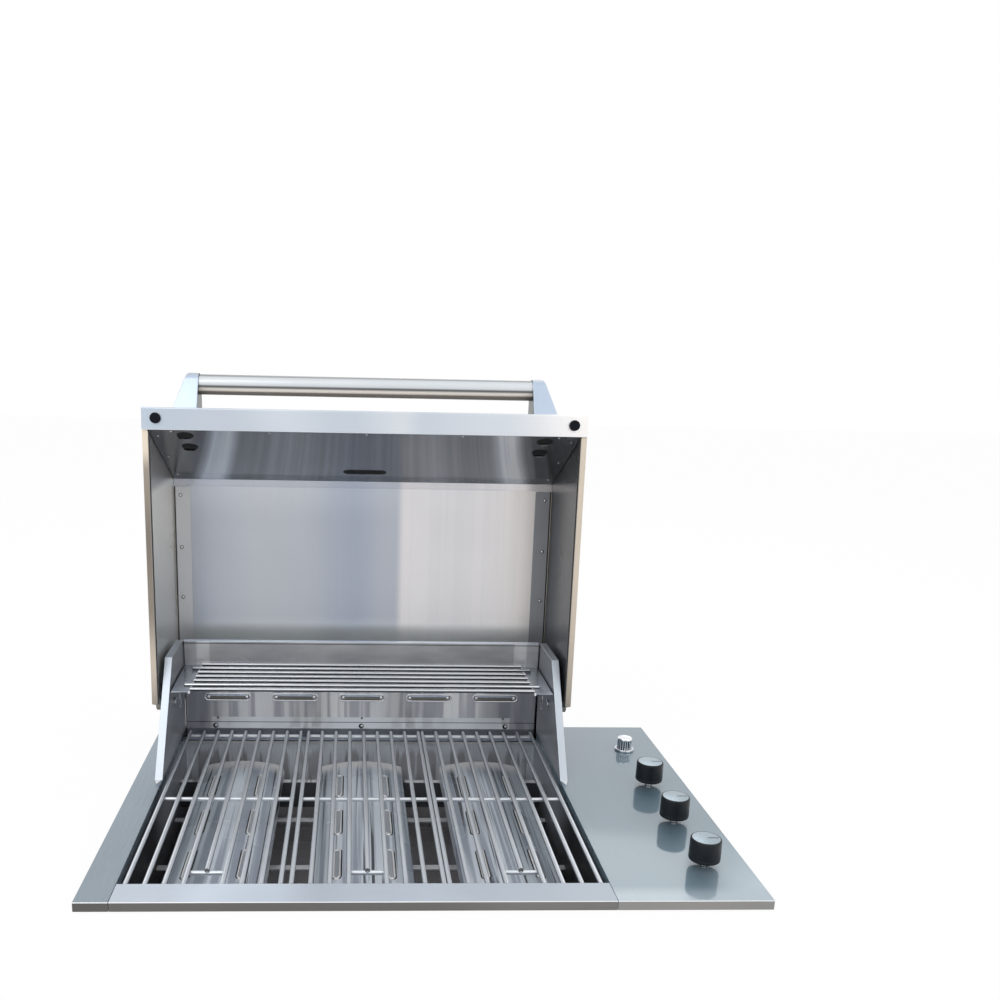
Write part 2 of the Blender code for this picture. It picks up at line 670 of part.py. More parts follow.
manifold_z = valve_top - VALVE_L - GAP - MANIFOLD_R
manifold_y = (box_y[0] + MANIFOLD_END_ROOM, box_y[1] + INLET_ROOM)
pipe = rod("pipe", [(KNOB_X, manifold_y[0], manifold_z), (KNOB_X, manifold_y[1] + INLET_L / 2, manifold_z)],
           MANIFOLD_R, 4)
inlet = disc_cutter(INLET_R, (KNOB_X, manifold_y[1] + INLET_L / 2, manifold_z), INLET_L, "Y", INLET_SIDES)
finish(weld(pipe, [inlet]), "gas_manifold", brass, root)

# Feed pipes from the valves into the burner mouths, one level each
FEED_R = 0.003
FEED_LEVEL = 0.009
FEED_LANE = 0.010
FEED_BEND = 0.008
FEED_MOUTH_REACH = 0.010
FEED_TIP_ROOM = 0.030
feed_runs = []
for k, (y, x) in enumerate(zip(KNOB_Y, BURNER_X[::-1])):
    z = rail_top - RAIL_H - FEED_R * 2 - FEED_LEVEL * k
    lane_x = X_IN_R - FEED_LANE * (k + 1)
    lane_y = burner_y[0] - FEED_TIP_ROOM + FEED_R
    start_x = KNOB_X - VALVE_R - GAP
    side_z = valve_top - VALVE_L + VALVE_NECK_L
    drop_x = start_x - FEED_BEND * 2
    run = [(start_x, y, side_z), (drop_x + FEED_BEND, y, side_z), (drop_x, y, side_z - FEED_BEND),
           (drop_x, y, z + FEED_BEND), (drop_x - FEED_BEND, y, z), (lane_x + FEED_BEND, y, z),
           (lane_x, y - FEED_BEND, z), (lane_x, lane_y + FEED_BEND, z), (lane_x - FEED_BEND, lane_y, z),
           (x + FEED_BEND, lane_y, z), (x, lane_y, z + FEED_BEND), (x, lane_y, BURNER_Z - FEED_BEND),
           (x, lane_y + FEED_BEND, BURNER_Z),
           (x, burner_y[0] + FEED_MOUTH_REACH, BURNER_Z)]
    feed_runs.append((y, z))
    finish(rod("feed", run, FEED_R), "feed_pipe_" + str(k + 1), rod_steel, root)

control_box = pan("control_box", box_x, box_y, box_z, True)
box_holes = [disc_cutter(FEED_R + GAP, (box_x[0], y, z), SHEET * 4, "X") for y, z in feed_runs]
box_holes.append(disc_cutter(MANIFOLD_R + GAP, (KNOB_X, box_y[1], manifold_z), SHEET * 4, "Y"))
finish(cut(control_box, box_holes), "control_box", satin_steel, root)

# Firebox shell with the tray mouth and the pipe holes
firebox = pan("firebox_shell", shell_x, shell_y, (0.0, shell_top), True)
mouth = block("mouth", (tray_x[0] - TRAY_ROOM, tray_x[1] + TRAY_ROOM),
              (shell_y[0] - OVERRUN, shell_y[0] + SHEET + OVERRUN),
              (SHEET + GAP / 2, tray_z[1] + TRAY_ROOM))
shell_holes = [disc_cutter(FEED_R + GAP, (shell_x[1], y, z), SHEET * 4, "X") for y, z in feed_runs]
finish(cut(firebox, [mouth] + shell_holes), "firebox_shell", satin_steel, root)

# Knobs: black body and silver cap on a chrome stem that can be pushed in
KNOB_R = 0.0203
KNOB_TAPER = 0.0008
KNOB_BOTTOM = 0.0127
KNOB_TOP = 0.0393
KNOB_EDGE = 0.0008
KNOB_STEM_BITE = 0.010
CAP_T = 0.0010
CAP_RIM = 0.0014
CAP_PROUD = 0.0002
STEM_DEPTH = 0.013
HUB_R = 0.008
HUB_DROP = 0.004
cap_r = KNOB_R - KNOB_TAPER - CAP_RIM
bite = KNOB_BOTTOM + KNOB_STEM_BITE
knob_profile = [(0.0, KNOB_TOP - CAP_T), (cap_r, KNOB_TOP - CAP_T), (cap_r, KNOB_TOP),
                (KNOB_R - KNOB_TAPER - KNOB_EDGE, KNOB_TOP), (KNOB_R - KNOB_TAPER, KNOB_TOP - KNOB_EDGE),
                (KNOB_R, KNOB_BOTTOM + KNOB_EDGE), (KNOB_R - KNOB_EDGE, KNOB_BOTTOM),
                (HUB_R, KNOB_BOTTOM), (HUB_R, KNOB_BOTTOM - HUB_DROP),
                (STEM_R + GAP, KNOB_BOTTOM - HUB_DROP), (STEM_R + GAP, bite), (0.0, bite)]
stem_profile = [(0.0, bite - GAP), (STEM_R, bite - GAP), (STEM_R, -STEM_DEPTH), (0.0, -STEM_DEPTH)]
cap_low = KNOB_TOP - CAP_T + GAP
cap_high = KNOB_TOP + CAP_PROUD
cap_profile = [(0.0, cap_high), (cap_r - GAP, cap_high), (cap_r - GAP, cap_low), (0.0, cap_low)]
for k, y in enumerate(KNOB_Y):
    number = str(k + 1)
    stem_axis = axis_empty("stem_" + number + "_axis", (KNOB_X, y, Z_TOP), root)
    knob_axis = axis_empty("knob_" + number + "_axis", (0.0, 0.0, 0.0), stem_axis)
    finish(turned("stem", stem_profile, SMALL_ROUND_STEPS), "valve_stem_" + number, chrome, stem_axis)
    finish(turned("knob", knob_profile), "knob_" + number, black_plastic, knob_axis)
    finish(turned("cap", cap_profile), "knob_cap_" + number, silver_cap, knob_axis)

# Igniter: collar with a threaded barrel, and its push button
COLLAR_R = 0.0162
COLLAR_H = 0.0043
COLLAR_EDGE = 0.001
BARREL_L = 0.034
BUTTON_TOP = 0.0225
BUTTON_EDGE = 0.0012
BUTTON_TRAVEL = 0.004
button_low = COLLAR_H - BUTTON_TRAVEL * 2
collar_floor = button_low - BUTTON_TRAVEL - OVERRUN
collar_profile = [(BUTTON_R + GAP, COLLAR_H), (COLLAR_R - COLLAR_EDGE, COLLAR_H),
                  (COLLAR_R, COLLAR_H - COLLAR_EDGE), (COLLAR_R, GAP), (BARREL_R, GAP),
                  (BARREL_R, -BARREL_L), (0.0, -BARREL_L), (0.0, collar_floor),
                  (BUTTON_R + GAP, collar_floor), (BUTTON_R + GAP, COLLAR_H)]
button_profile = [(0.0, BUTTON_TOP), (BUTTON_R - BUTTON_EDGE, BUTTON_TOP),
                  (BUTTON_R, BUTTON_TOP - BUTTON_EDGE), (BUTTON_R, button_low), (0.0, button_low)]
collar = move(turned("collar", collar_profile), (KNOB_X, IGNITER_Y, Z_TOP))
finish(collar, "igniter_collar", chrome, root)
button_axis = axis_empty("igniter_axis", (KNOB_X, IGNITER_Y, Z_TOP), root)
finish(turned("button", button_profile), "igniter_button", chrome, button_axis)

# Hood, drawn shut: (y, z) run from the hinge pins, at the origin of its empty
SPACER_L = 0.0074
LID_FOOT_FROM_FRONT = 0.0194
LID_FOOT_UP = 0.0063
LID_BROW_FROM_FRONT = 0.0946
LID_BROW_UP = 0.2239
LID_BACK_FROM_REAR = 0.0762
LID_BACK_UP = 0.2502
LID_HEEL_FROM_REAR = 0.1164
LID_HEEL_UP = 0.0366
LIP_D = 0.034
LID_HEM = 0.015
LID_FOLD_R = 0.0024
SIDE_T = 0.008
SIDE_SKIN = 0.0012
SIDE_HEM_W = 0.011
SIDE_FLANGE_W = 0.028
LUG_R = 0.014
LINER_SET = 0.0323
LINER_FLANGE = 0.012
THERMO_UP = 0.159
THERMO_HOLE_R = 0.0052


def lid_point(y, up):
    """A place on the shut hood, seen from its hinge pins."""
    return Vector((y - pin_y, up - PIN_UP))


lid_axis = axis_empty("lid_axis", (0.0, pin_y, pin_z), root)
lid_axis.rotation_euler = (-LID_OPEN_ANGLE, 0.0, 0.0)
half_lid = X_IN_R + WING_T + GAP * 2 + SPACER_L + SIDE_T
foot = lid_point(Y_FRONT + LID_FOOT_FROM_FRONT, LID_FOOT_UP)
brow = lid_point(Y_FRONT + LID_BROW_FROM_FRONT, LID_BROW_UP)
back = lid_point(Y_REAR - LID_BACK_FROM_REAR, LID_BACK_UP)
heel = lid_point(Y_REAR - LID_HEEL_FROM_REAR, LID_HEEL_UP)
lip = foot + Vector((LIP_D, 0.0))
hem_end = back + (heel - back).normalized() * LID_HEM
front_run = (brow - foot).normalized()
top_run = (back - brow).normalized()
front_out = Vector((-front_run.y, front_run.x))
lid_path = [tuple(spot) for spot in (lip, foot, brow, back, hem_end)]
lid_path = rounded(lid_path, LID_FOLD_R)
thermo_spot = foot + front_run * THERMO_UP
lid_skin = folded("lid_skin", lid_path, -SHEET, "X", -half_lid, half_lid)


def across_front(radius, length):
    """A cutter square to the hood's front at the thermometer."""
    shape = disc_cutter(radius, (0.0, 0.0, 0.0), length)
    shape.data.transform(thermo_frame)
    return shape


front_angle = math.atan2(front_out.y, -front_out.x)
thermo_frame = (Matrix.Translation((0.0, *thermo_spot))
                @ Matrix.Rotation(math.pi / 2 - front_angle, 4, "X"))
lid_skin = cut(lid_skin, [across_front(THERMO_HOLE_R, SHEET * 6)])
finish(lid_skin, "lid_skin", satin_steel, lid_axis)

# Hood sides: hollow panels, open under the skin, with a lug at the pin
seat = offset_path([tuple(spot) for spot in (lip, foot, brow, back, hem_end)], -SKIRT)
side_foot, side_brow, side_back = Vector(seat[1]), Vector(seat[2]), Vector(seat[3])
side_heel = heel + (back - heel).normalized() * SKIRT
lug_turn = math.pi / 6
LUG_SHARES = (-5, -4, -3, -2, -1, 0, 1)
lug = [(LUG_R * math.cos(k * lug_turn / 2), LUG_R * math.sin(k * lug_turn / 2)) for k in LUG_SHARES]
round_seat = offset_path(lid_path, -SKIRT)
below_hem = Vector(round_seat[-1]) + (heel - back).normalized() * SKIRT
side_outline = [tuple(side_heel)] + lug + [tuple(below_hem)] + round_seat[-2:0:-1]
side_corners = [tuple(spot) for spot in (side_brow, side_foot, side_heel, side_back)]
hollow_path = offset_path(side_corners, SIDE_SKIN)
hollow_path[0] = tuple(Vector(hollow_path[0]) + front_run * OVERRUN)
hollow_path[-1] = tuple(Vector(hollow_path[-1]) + Vector((0.0, OVERRUN)))
hem_run = (side_heel - side_foot).normalized()
hem_start = side_foot + hem_run * LIP_D
hem_path = offset_path([tuple(hem_start), tuple(side_heel - hem_run * SIDE_SKIN)], SIDE_SKIN / 4)
flange_start = side_brow + top_run * (LINER_SET + LINER_FLANGE + SIDE_SKIN)
flange_path = offset_path([tuple(flange_start), tuple(side_back - top_run * LID_HEM)], -SIDE_SKIN / 4)
for side, way in (("left", -1.0), ("right", 1.0)):
    outer = way * half_lid
    inner = outer - way * SIDE_T
    faces = sorted((outer, inner))
    panel = prism("panel", side_outline, "X", *faces)
    hollow = prism("hollow", hollow_path, "X", faces[0] + SIDE_SKIN, faces[1] - SIDE_SKIN)
    panel = cut(panel, [hollow])
    bore_depth = SIDE_T - SIDE_SKIN / 2
    bore_x = inner + way * (bore_depth - OVERRUN) / 2
    bore = disc_cutter(PIN_R + GAP, (bore_x, 0.0, 0.0), bore_depth + OVERRUN, "X")
    panel = cut(panel, [bore])
    hem_x = sorted((inner + way * SIDE_SKIN / 2, outer - way * SIDE_HEM_W))
    flange_x = sorted((inner + way * SIDE_SKIN / 2, inner - way * SIDE_FLANGE_W))
    hem = folded("hem", hem_path, SIDE_SKIN, "X", *hem_x)
    flange = folded("flange", flange_path, -SIDE_SKIN, "X", *flange_x)
    finish(weld(panel, [hem, flange]), "lid_side_" + side, satin_steel, lid_axis)

# Hinge pins with their heads inside the wings and a spacer to the hood
SPACER_R = 0.0075
lid_inner = half_lid - SIDE_T
pin_tip = half_lid - SIDE_SKIN - GAP * 2
spacer_low = WING_T + GAP
spacer_high = spacer_low + SPACER_L
pin_profile = [(0.0, pin_tip - X_IN_R), (PIN_R, pin_tip - X_IN_R), (PIN_R, spacer_high),
               (SPACER_R, spacer_high), (SPACER_R, spacer_low), (PIN_R, spacer_low),
               (PIN_R, -GAP), (PIN_HEAD_R, -GAP), (PIN_HEAD_R, -GAP - PIN_HEAD_T), (0.0, -GAP - PIN_HEAD_T)]
for side, way in (("left", -1.0), ("right", 1.0)):
    pin = turned("pin", pin_profile, SMALL_ROUND_STEPS)
    turn = Matrix.Rotation(math.radians(90) * way, 4, "Y")
    pin.data.transform(Matrix.Translation((way * X_IN_R, pin_y, pin_z)) @ turn)
    finish(pin, "hinge_pin_" + side, chrome, root)

# Liner: inner front of the hood, screwed to the lip and the top
LINER_SIDE_ROOM = 0.0005
LINER_LIP_LAP = 0.014
ACCESS_R = 0.010
ACCESS_FROM_SIDE = 0.0585
ACCESS_UP = (0.030, 0.081)
PROBE_SLOT_UP = 0.182
PROBE_SLOT_L = 0.058
PROBE_SLOT_W = 0.019
under_lip = Vector((lip.x, lip.y + SKIRT))
liner_rise = Vector(offset_path([tuple(side_brow), tuple(side_back)], -SHEET)[0])
top_normal = Vector((-top_run.y, top_run.x))
climb = (liner_rise - under_lip).dot(top_normal) / front_run.dot(top_normal)
liner_top = under_lip + front_run * climb
liner_path = [tuple(under_lip - Vector((LINER_LIP_LAP, 0.0))), tuple(under_lip), tuple(liner_top),
              tuple(liner_top + top_run * LINER_FLANGE)]
liner_half = lid_inner - LINER_SIDE_ROOM
liner_skin = folded("liner", rounded(liner_path, SHEET * 1.5, 2), SHEET, "X", -liner_half, liner_half)
liner_frame = Matrix.Rotation(math.pi / 2 - front_angle, 4, "X")
hole_depth = SHEET * 10
liner_holes = []
for way in (-1.0, 1.0):
    for up in ACCESS_UP:
        hole = disc_cutter(ACCESS_R, (0.0, 0.0, 0.0), hole_depth)
        spot = under_lip + front_run * up
        hole.data.transform(Matrix.Translation((way * (half_lid - ACCESS_FROM_SIDE), *spot)) @ liner_frame)
        liner_holes.append(hole)
slot = prism("slot", slot_outline(PROBE_SLOT_L, PROBE_SLOT_W), "Z", -hole_depth / 2, hole_depth / 2)
slot.data.transform(Matrix.Translation((0.0, *(under_lip + front_run * PROBE_SLOT_UP))) @ liner_frame)
liner_holes.append(slot)
finish(cut(liner_skin, liner_holes), "lid_liner", satin_steel, lid_axis)

# Handle: a tube between two wedge brackets
HANDLE_R = 0.01513
HANDLE_WALL = 0.0016
HANDLE_OFF = 0.0521
HANDLE_UP = 0.0383
BRACKET_FROM_SIDE = 0.042
BRACKET_W = 0.0375
BRACKET_TIP_W = 0.0215
BRACKET_UP = 0.0820
BRACKET_LOW = 0.0160
BRACKET_NOSE_R = 0.0170
BRACKET_SOCKET = 0.010
tube_at = foot + front_run * HANDLE_UP + front_out * HANDLE_OFF
handle_low = foot + front_run * BRACKET_LOW
handle_high = foot + front_run * BRACKET_UP
gap_out = front_out * GAP
bracket_out = half_lid - BRACKET_FROM_SIDE
bracket_in = bracket_out - BRACKET_W


def bracket_outline(nose_r):
    """Wedge from the hood's front out to the tube, with a round nose."""
    upper, lower = handle_high + gap_out, handle_low + gap_out

    def tangent(spot, side):
        arm = spot - tube_at
        lean = math.acos(nose_r / arm.length)
        return math.atan2(arm.y, arm.x) + side * lean

    start, end = tangent(upper, 1.0), tangent(lower, -1.0)
    sweep = (end - start) % (math.pi * 2)
    nose = []
    for k in range(BOW_STEPS * 2 + 1):
        turn = start + sweep * k / (BOW_STEPS * 2)
        nose.append((tube_at.x + nose_r * math.cos(turn), tube_at.y + nose_r * math.sin(turn)))
    return [tuple(upper)] + nose + [tuple(lower)]


taper = (BRACKET_W - BRACKET_TIP_W) / HANDLE_OFF
for side, way in (("left", -1.0), ("right", 1.0)):
    faces = sorted((way * bracket_in, way * bracket_out))
    bracket = prism("bracket", bracket_outline(BRACKET_NOSE_R), "X", *faces)
    for spot in bracket.data.vertices:
        place = Vector((spot.co.y, spot.co.z)) - foot
        off = place.dot(front_out)
        if spot.co.x * way > (bracket_in + bracket_out) / 2:
            spot.co.x -= way * taper * off
    socket_x = way * (bracket_in + BRACKET_SOCKET / 2 - OVERRUN / 2)
    socket = disc_cutter(HANDLE_R + GAP, (socket_x, *tube_at), BRACKET_SOCKET + OVERRUN, "X", ROUND_STEPS)
    finish(cut(bracket, [socket]), "handle_bracket_" + side, satin_steel, lid_axis)

tube_half = bracket_in + BRACKET_SOCKET - GAP
bore_r = HANDLE_R - HANDLE_WALL
tube_profile = [(HANDLE_R, tube_half), (HANDLE_R, -tube_half), (bore_r, -tube_half), (bore_r, tube_half),
                (HANDLE_R, tube_half)]
tube = move(turned("tube", tube_profile), (0.0, *tube_at), "X")
finish(tube, "handle_tube", rod_steel, lid_axis)

# Bumpers: rubber feet on the lip that land on the flange
BUMPER_R = 0.008
BUMPER_EDGE = 0.001
BUMPER_FROM_SIDE = 0.021
bumper_h = LID_FOOT_UP - GAP * 2
bumper_y = foot.x + LIP_D / 2
bumper_profile = [(0.0, -GAP), (BUMPER_R, -GAP), (BUMPER_R, -bumper_h + BUMPER_EDGE),
                  (BUMPER_R - BUMPER_EDGE, -bumper_h), (0.0, -bumper_h)]
for side, way in (("left", -1.0), ("right", 1.0)):
    bumper = turned("bumper", bumper_profile, SMALL_ROUND_STEPS)
    move(bumper, (way * (half_lid - BUMPER_FROM_SIDE), bumper_y, foot.y))
    finish(bumper, "bumper_" + side, black_rubber, lid_axis)

# Thermometer, drawn about +Z and set square on the front of the hood
BEZEL_R = 0.0385
BEZEL_FOOT_R = 0.0365
BEZEL_H = 0.011
BEZEL_LIP_R = 0.0300
BEZEL_STEP = 0.003
CUP_FLOOR = 0.003
DIAL_T = 0.001
LENS_T = 0.0015
LENS_DROP = 0.0012
NEEDLE_L = 0.0215
NEEDLE_TAIL = 0.0065
NEEDLE_W = 0.0031
NEEDLE_TAIL_W = 0.0022
NEEDLE_T = 0.0006
NEEDLE_LIFT = 0.0012
NEEDLE_HUB_R = 0.003
NEEDLE_REST = math.radians(-118)
PROBE_R = 0.003
PROBE_L = 0.026
cup_profile = [(BEZEL_LIP_R, BEZEL_H), (BEZEL_R - BEZEL_STEP, BEZEL_H), (BEZEL_R, BEZEL_H - BEZEL_STEP),
               (BEZEL_R, BEZEL_STEP), (BEZEL_FOOT_R, GAP), (PROBE_R, GAP), (PROBE_R, -PROBE_L),
               (0.0, -PROBE_L), (0.0, CUP_FLOOR), (BEZEL_LIP_R, CUP_FLOOR), (BEZEL_LIP_R, BEZEL_H)]


def on_front(piece):
    piece.data.transform(thermo_frame)
    return piece


finish(on_front(turned("case", cup_profile)), "thermometer_case", chrome, lid_axis)
dial_low = CUP_FLOOR + GAP
dial_top = dial_low + DIAL_T
dial_r = BEZEL_LIP_R - GAP
dial_profile = [(0.0, dial_top), (dial_r, dial_top), (dial_r, dial_low), (0.0, dial_low)]
finish(on_front(turned("dial", dial_profile)), "thermometer_dial", dial_black, lid_axis)
lens_top = BEZEL_H - LENS_DROP
lens_profile = [(0.0, lens_top), (dial_r, lens_top), (dial_r, lens_top - LENS_T), (0.0, lens_top - LENS_T)]
finish(on_front(turned("lens", lens_profile)), "thermometer_lens", lens_glass, lid_axis)
needle_axis = axis_empty("needle_axis", (0.0, 0.0, 0.0), lid_axis)
needle_axis.matrix_local = thermo_frame @ Matrix.Rotation(NEEDLE_REST, 4, "Z")
needle_low = dial_top + GAP
needle_outline = [(-NEEDLE_TAIL, -NEEDLE_TAIL_W / 2), (0.0, -NEEDLE_W / 2), (NEEDLE_L, -NEEDLE_T / 2),
                  (NEEDLE_L, NEEDLE_T / 2), (0.0, NEEDLE_W / 2), (-NEEDLE_TAIL, NEEDLE_TAIL_W / 2)]
needle = prism("needle", needle_outline, "Z", needle_low + NEEDLE_LIFT, needle_low + NEEDLE_LIFT + NEEDLE_T)
hub = turned("hub", [(0.0, needle_low + NEEDLE_LIFT * 2), (NEEDLE_HUB_R, needle_low + NEEDLE_LIFT * 2),
                     (NEEDLE_HUB_R, needle_low), (0.0, needle_low)], SMALL_ROUND_STEPS)
finish(weld(needle, [hub]), "thermometer_needle", needle_red, needle_axis)
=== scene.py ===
import math

import bmesh
import bpy
from mathutils import Matrix, Vector


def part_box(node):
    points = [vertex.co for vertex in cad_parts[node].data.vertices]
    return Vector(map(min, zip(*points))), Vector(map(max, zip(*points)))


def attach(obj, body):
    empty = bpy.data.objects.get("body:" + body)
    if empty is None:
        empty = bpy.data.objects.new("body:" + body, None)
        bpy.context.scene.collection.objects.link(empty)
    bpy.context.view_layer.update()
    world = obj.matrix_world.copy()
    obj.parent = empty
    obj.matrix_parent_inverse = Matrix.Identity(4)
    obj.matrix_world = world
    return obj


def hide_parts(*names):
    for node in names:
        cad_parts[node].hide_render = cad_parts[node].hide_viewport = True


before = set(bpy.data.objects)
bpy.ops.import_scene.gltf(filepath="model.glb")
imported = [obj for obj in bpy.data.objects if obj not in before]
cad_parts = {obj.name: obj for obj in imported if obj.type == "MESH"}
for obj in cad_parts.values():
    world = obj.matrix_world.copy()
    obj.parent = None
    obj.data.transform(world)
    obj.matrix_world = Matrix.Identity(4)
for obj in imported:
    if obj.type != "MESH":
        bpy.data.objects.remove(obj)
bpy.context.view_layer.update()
scene = bpy.context.scene

# ---- Counter, light and camera ----
# The grill hangs by its flange in the cut-out of a pale counter. The counter
# is drawn as a plain floor with a hole that the firebox drops through.
COUNTER_REACH = 9.0
CUT_X = (-0.334, 0.487)
CUT_Y = (-0.3035, 0.2725)
COUNTER_TONE = (0.93, 0.935, 0.94)
ROOM_LIGHT = 0.86
WHITE_SHARE = 0.93
WHITE = (1.0, 1.0, 1.0)


def feed(made, inputs):
    """Set a node's inputs; each may be a value or another node's output."""
    for name, value in inputs.items():
        socket = made.inputs[name]
        if isinstance(value, bpy.types.NodeSocket):
            made.id_data.links.new(value, socket)
        elif socket.type == "RGBA":
            socket.default_value = (*value, 1.0)
        else:
            socket.default_value = value


def node(tree, kind, inputs=None, **settings):
    """Add a node; a kind without the word Node is a shader node's."""
    made = tree.nodes.new(kind if "Node" in kind else "ShaderNode" + kind)
    for name, value in settings.items():
        setattr(made, name, value)
    feed(made, inputs or {})
    return made


def maths(tree, way, *values):
    """The output of a Math node."""
    return node(tree, "Math", dict(enumerate(values)), operation=way).outputs[0]


def seen_share(tree):
    """One for rays from the camera, a mirror or a glass, else zero."""
    rays = node(tree, "LightPath").outputs
    seen = maths(tree, "MAXIMUM", rays["Is Camera Ray"], rays["Is Glossy Ray"])
    return maths(tree, "MAXIMUM", seen, rays["Is Transmission Ray"])


def new_piece(name, vertices, faces, material=None, smooth=None):
    """A mesh piece from its points and faces."""
    mesh = bpy.data.meshes.new(name)
    mesh.from_pydata([tuple(spot) for spot in vertices], [], faces)
    mesh.validate()
    piece = bpy.data.objects.new(name, mesh)
    scene.collection.objects.link(piece)
    if material is not None:
        mesh.materials.append(material)
    if smooth is not None:
        mesh.shade_smooth()
        mesh.set_sharp_from_angle(angle=math.radians(smooth))
    return piece


counter_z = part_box("left_trim")[0].z
world = bpy.data.worlds.new("studio_room")
scene.world = world
world.use_nodes = True
tree = world.node_tree
tree.nodes.clear()
level = node(tree, "MapRange", {"Value": seen_share(tree), "To Min": ROOM_LIGHT, "To Max": 1.0})
glow = node(tree, "Background", {"Color": WHITE, "Strength": level.outputs[0]})
node(tree, "OutputWorld", {"Surface": glow.outputs[0]})

counter_look = bpy.data.materials.new("pale_counter")
counter_look.use_nodes = True
tree = counter_look.node_tree
tree.nodes.clear()
veil = maths(tree, "MULTIPLY", seen_share(tree), WHITE_SHARE)
face = node(tree, "NewGeometry")
pale = node(tree, "BsdfDiffuse", {"Color": COUNTER_TONE})
paper = node(tree, "Emission", {"Color": WHITE, "Strength": 1.0})
clear = node(tree, "BsdfTransparent")
top_side = node(tree, "MixShader", {0: veil, 1: pale.outputs[0], 2: paper.outputs[0]})
both = node(tree, "MixShader", {0: face.outputs["Backfacing"], 1: top_side.outputs[0], 2: clear.outputs[0]})
node(tree, "OutputMaterial", {"Surface": both.outputs[0]})

rows_x = (-COUNTER_REACH, *CUT_X, COUNTER_REACH)
rows_y = (-COUNTER_REACH, *CUT_Y, COUNTER_REACH)
spots = [(x, y, counter_z) for y in rows_y for x in rows_x]
tiles = [(i + 4 * k, i + 1 + 4 * k, i + 5 + 4 * k, i + 4 + 4 * k)
         for k in range(3) for i in range(3) if (i, k) != (1, 1)]
counter = new_piece("counter", spots, tiles, counter_look)

LAMPS = (
    ("key_lamp", (-1.5, -1.5, 2.6), 2.0, 20.0),
    ("fill_lamp", (2.0, -1.6, 2.0), 2.0, 10.0),
    ("back_lamp", (0.4, 2.2, 2.4), 2.0, 8.0),
)
LAMP_AIM = Vector((0.0, 0.0, 0.35))
for name, place, size, power in LAMPS:
    data = bpy.data.lights.new(name, "AREA")
    data.size = size
    data.energy = power
    lamp = bpy.data.objects.new(name, data)
    lamp.location = place
    lamp.rotation_euler = (LAMP_AIM - Vector(place)).to_track_quat("-Z", "Y").to_euler()
    scene.collection.objects.link(lamp)

CAMERA_AT = Vector((-0.0222, -1.3963, 0.8479))
CAMERA_TURN = math.radians(2.68)
CAMERA_DIP = math.radians(15.37)
CAMERA_ROLL = math.radians(1.23)
CAMERA_SENSOR = 36.0
CAMERA_LENS = 36.245
CAMERA_SHIFT = (0.1045, 0.133)
ahead = Vector((math.sin(CAMERA_TURN) * math.cos(CAMERA_DIP),
                math.cos(CAMERA_TURN) * math.cos(CAMERA_DIP), -math.sin(CAMERA_DIP)))
right = ahead.cross(Vector((0.0, 0.0, 1.0))).normalized()
upward = right.cross(ahead)
tilted = right * math.cos(CAMERA_ROLL) + upward * math.sin(CAMERA_ROLL)
upright = upward * math.cos(CAMERA_ROLL) - right * math.sin(CAMERA_ROLL)
lens = bpy.data.cameras.new("camera")
lens.sensor_width = CAMERA_SENSOR
lens.lens = CAMERA_LENS
lens.shift_x, lens.shift_y = CAMERA_SHIFT
camera = bpy.data.objects.new("camera", lens)
turn = Matrix((tilted, upright, -ahead)).transposed()
camera.matrix_world = Matrix.Translation(CAMERA_AT) @ turn.to_4x4()
scene.collection.objects.link(camera)
scene.camera = camera
scene.view_settings.view_transform = "Standard"

# ---- Firebox and drip tray ----
# The firebox is an open box of brushed stainless sheet, welded at its corners.
# The drip tray slides in over its floor; inside both, the colour holds painted shade, painted light and
# painted reflections.
# Firebox tones are painted light and shade: lit and shadow tones in streaks, a brighter low tone, a rim
# highlight, and dark side shade that clears at the rear.
FIREBOX_LIT_TONE = (0.84, 0.90, 0.98)
FIREBOX_SHADOW_TONE = (0.50, 0.52, 0.56)
FIREBOX_LOW_LIGHT_TONE = (0.80, 0.78, 0.80)
FIREBOX_RIM_HIGHLIGHT_Z = (0.1852, 0.1884)
FIREBOX_EDGE_SHADE_Z = (0.1888, 0.1894)
FIREBOX_OUT_TONE = (0.56, 0.58, 0.61)
FIREBOX_SIDE_SHADE_TONE = (0.020, 0.022, 0.026)
FIREBOX_CORNER_LIGHT_TONE = (0.46, 0.49, 0.54)
# Tray tones: streaks of painted reflection between a bright and a dark tone, and an even painted light at the
# rear.
TRAY_REFLECTION_TONE = (0.95, 0.97, 1.00)
TRAY_REAR_LIGHT_TONE = (0.55, 0.54, 0.56)
TRAY_OUT_TONE = (0.56, 0.58, 0.61)
TRAY_DARK_REFLECTION_TONE = (0.025, 0.027, 0.031)
SHEET_EDGE = 0.0005
CORNER_TURN = math.radians(30)
WELD_REACH = 0.00001
ALONG_X = (14.0, 1400.0, 1400.0)
ALONG_Y = (1400.0, 14.0, 1400.0)
ALONG_Z = (1400.0, 1400.0, 14.0)


def noise(tree, spot, scale, detail, rough=0.5):
    """Soft noise over a place, from 0 to 1."""
    made = node(tree, "TexNoise", {"Vector": spot, "Scale": scale, "Detail": detail, "Roughness": rough})
    return made.outputs["Fac"]


def scaled(tree, one, two):
    """A place or a tone multiplied part by part."""
    return node(tree, "VectorMath", {0: one, 1: two}, operation="MULTIPLY").outputs[0]


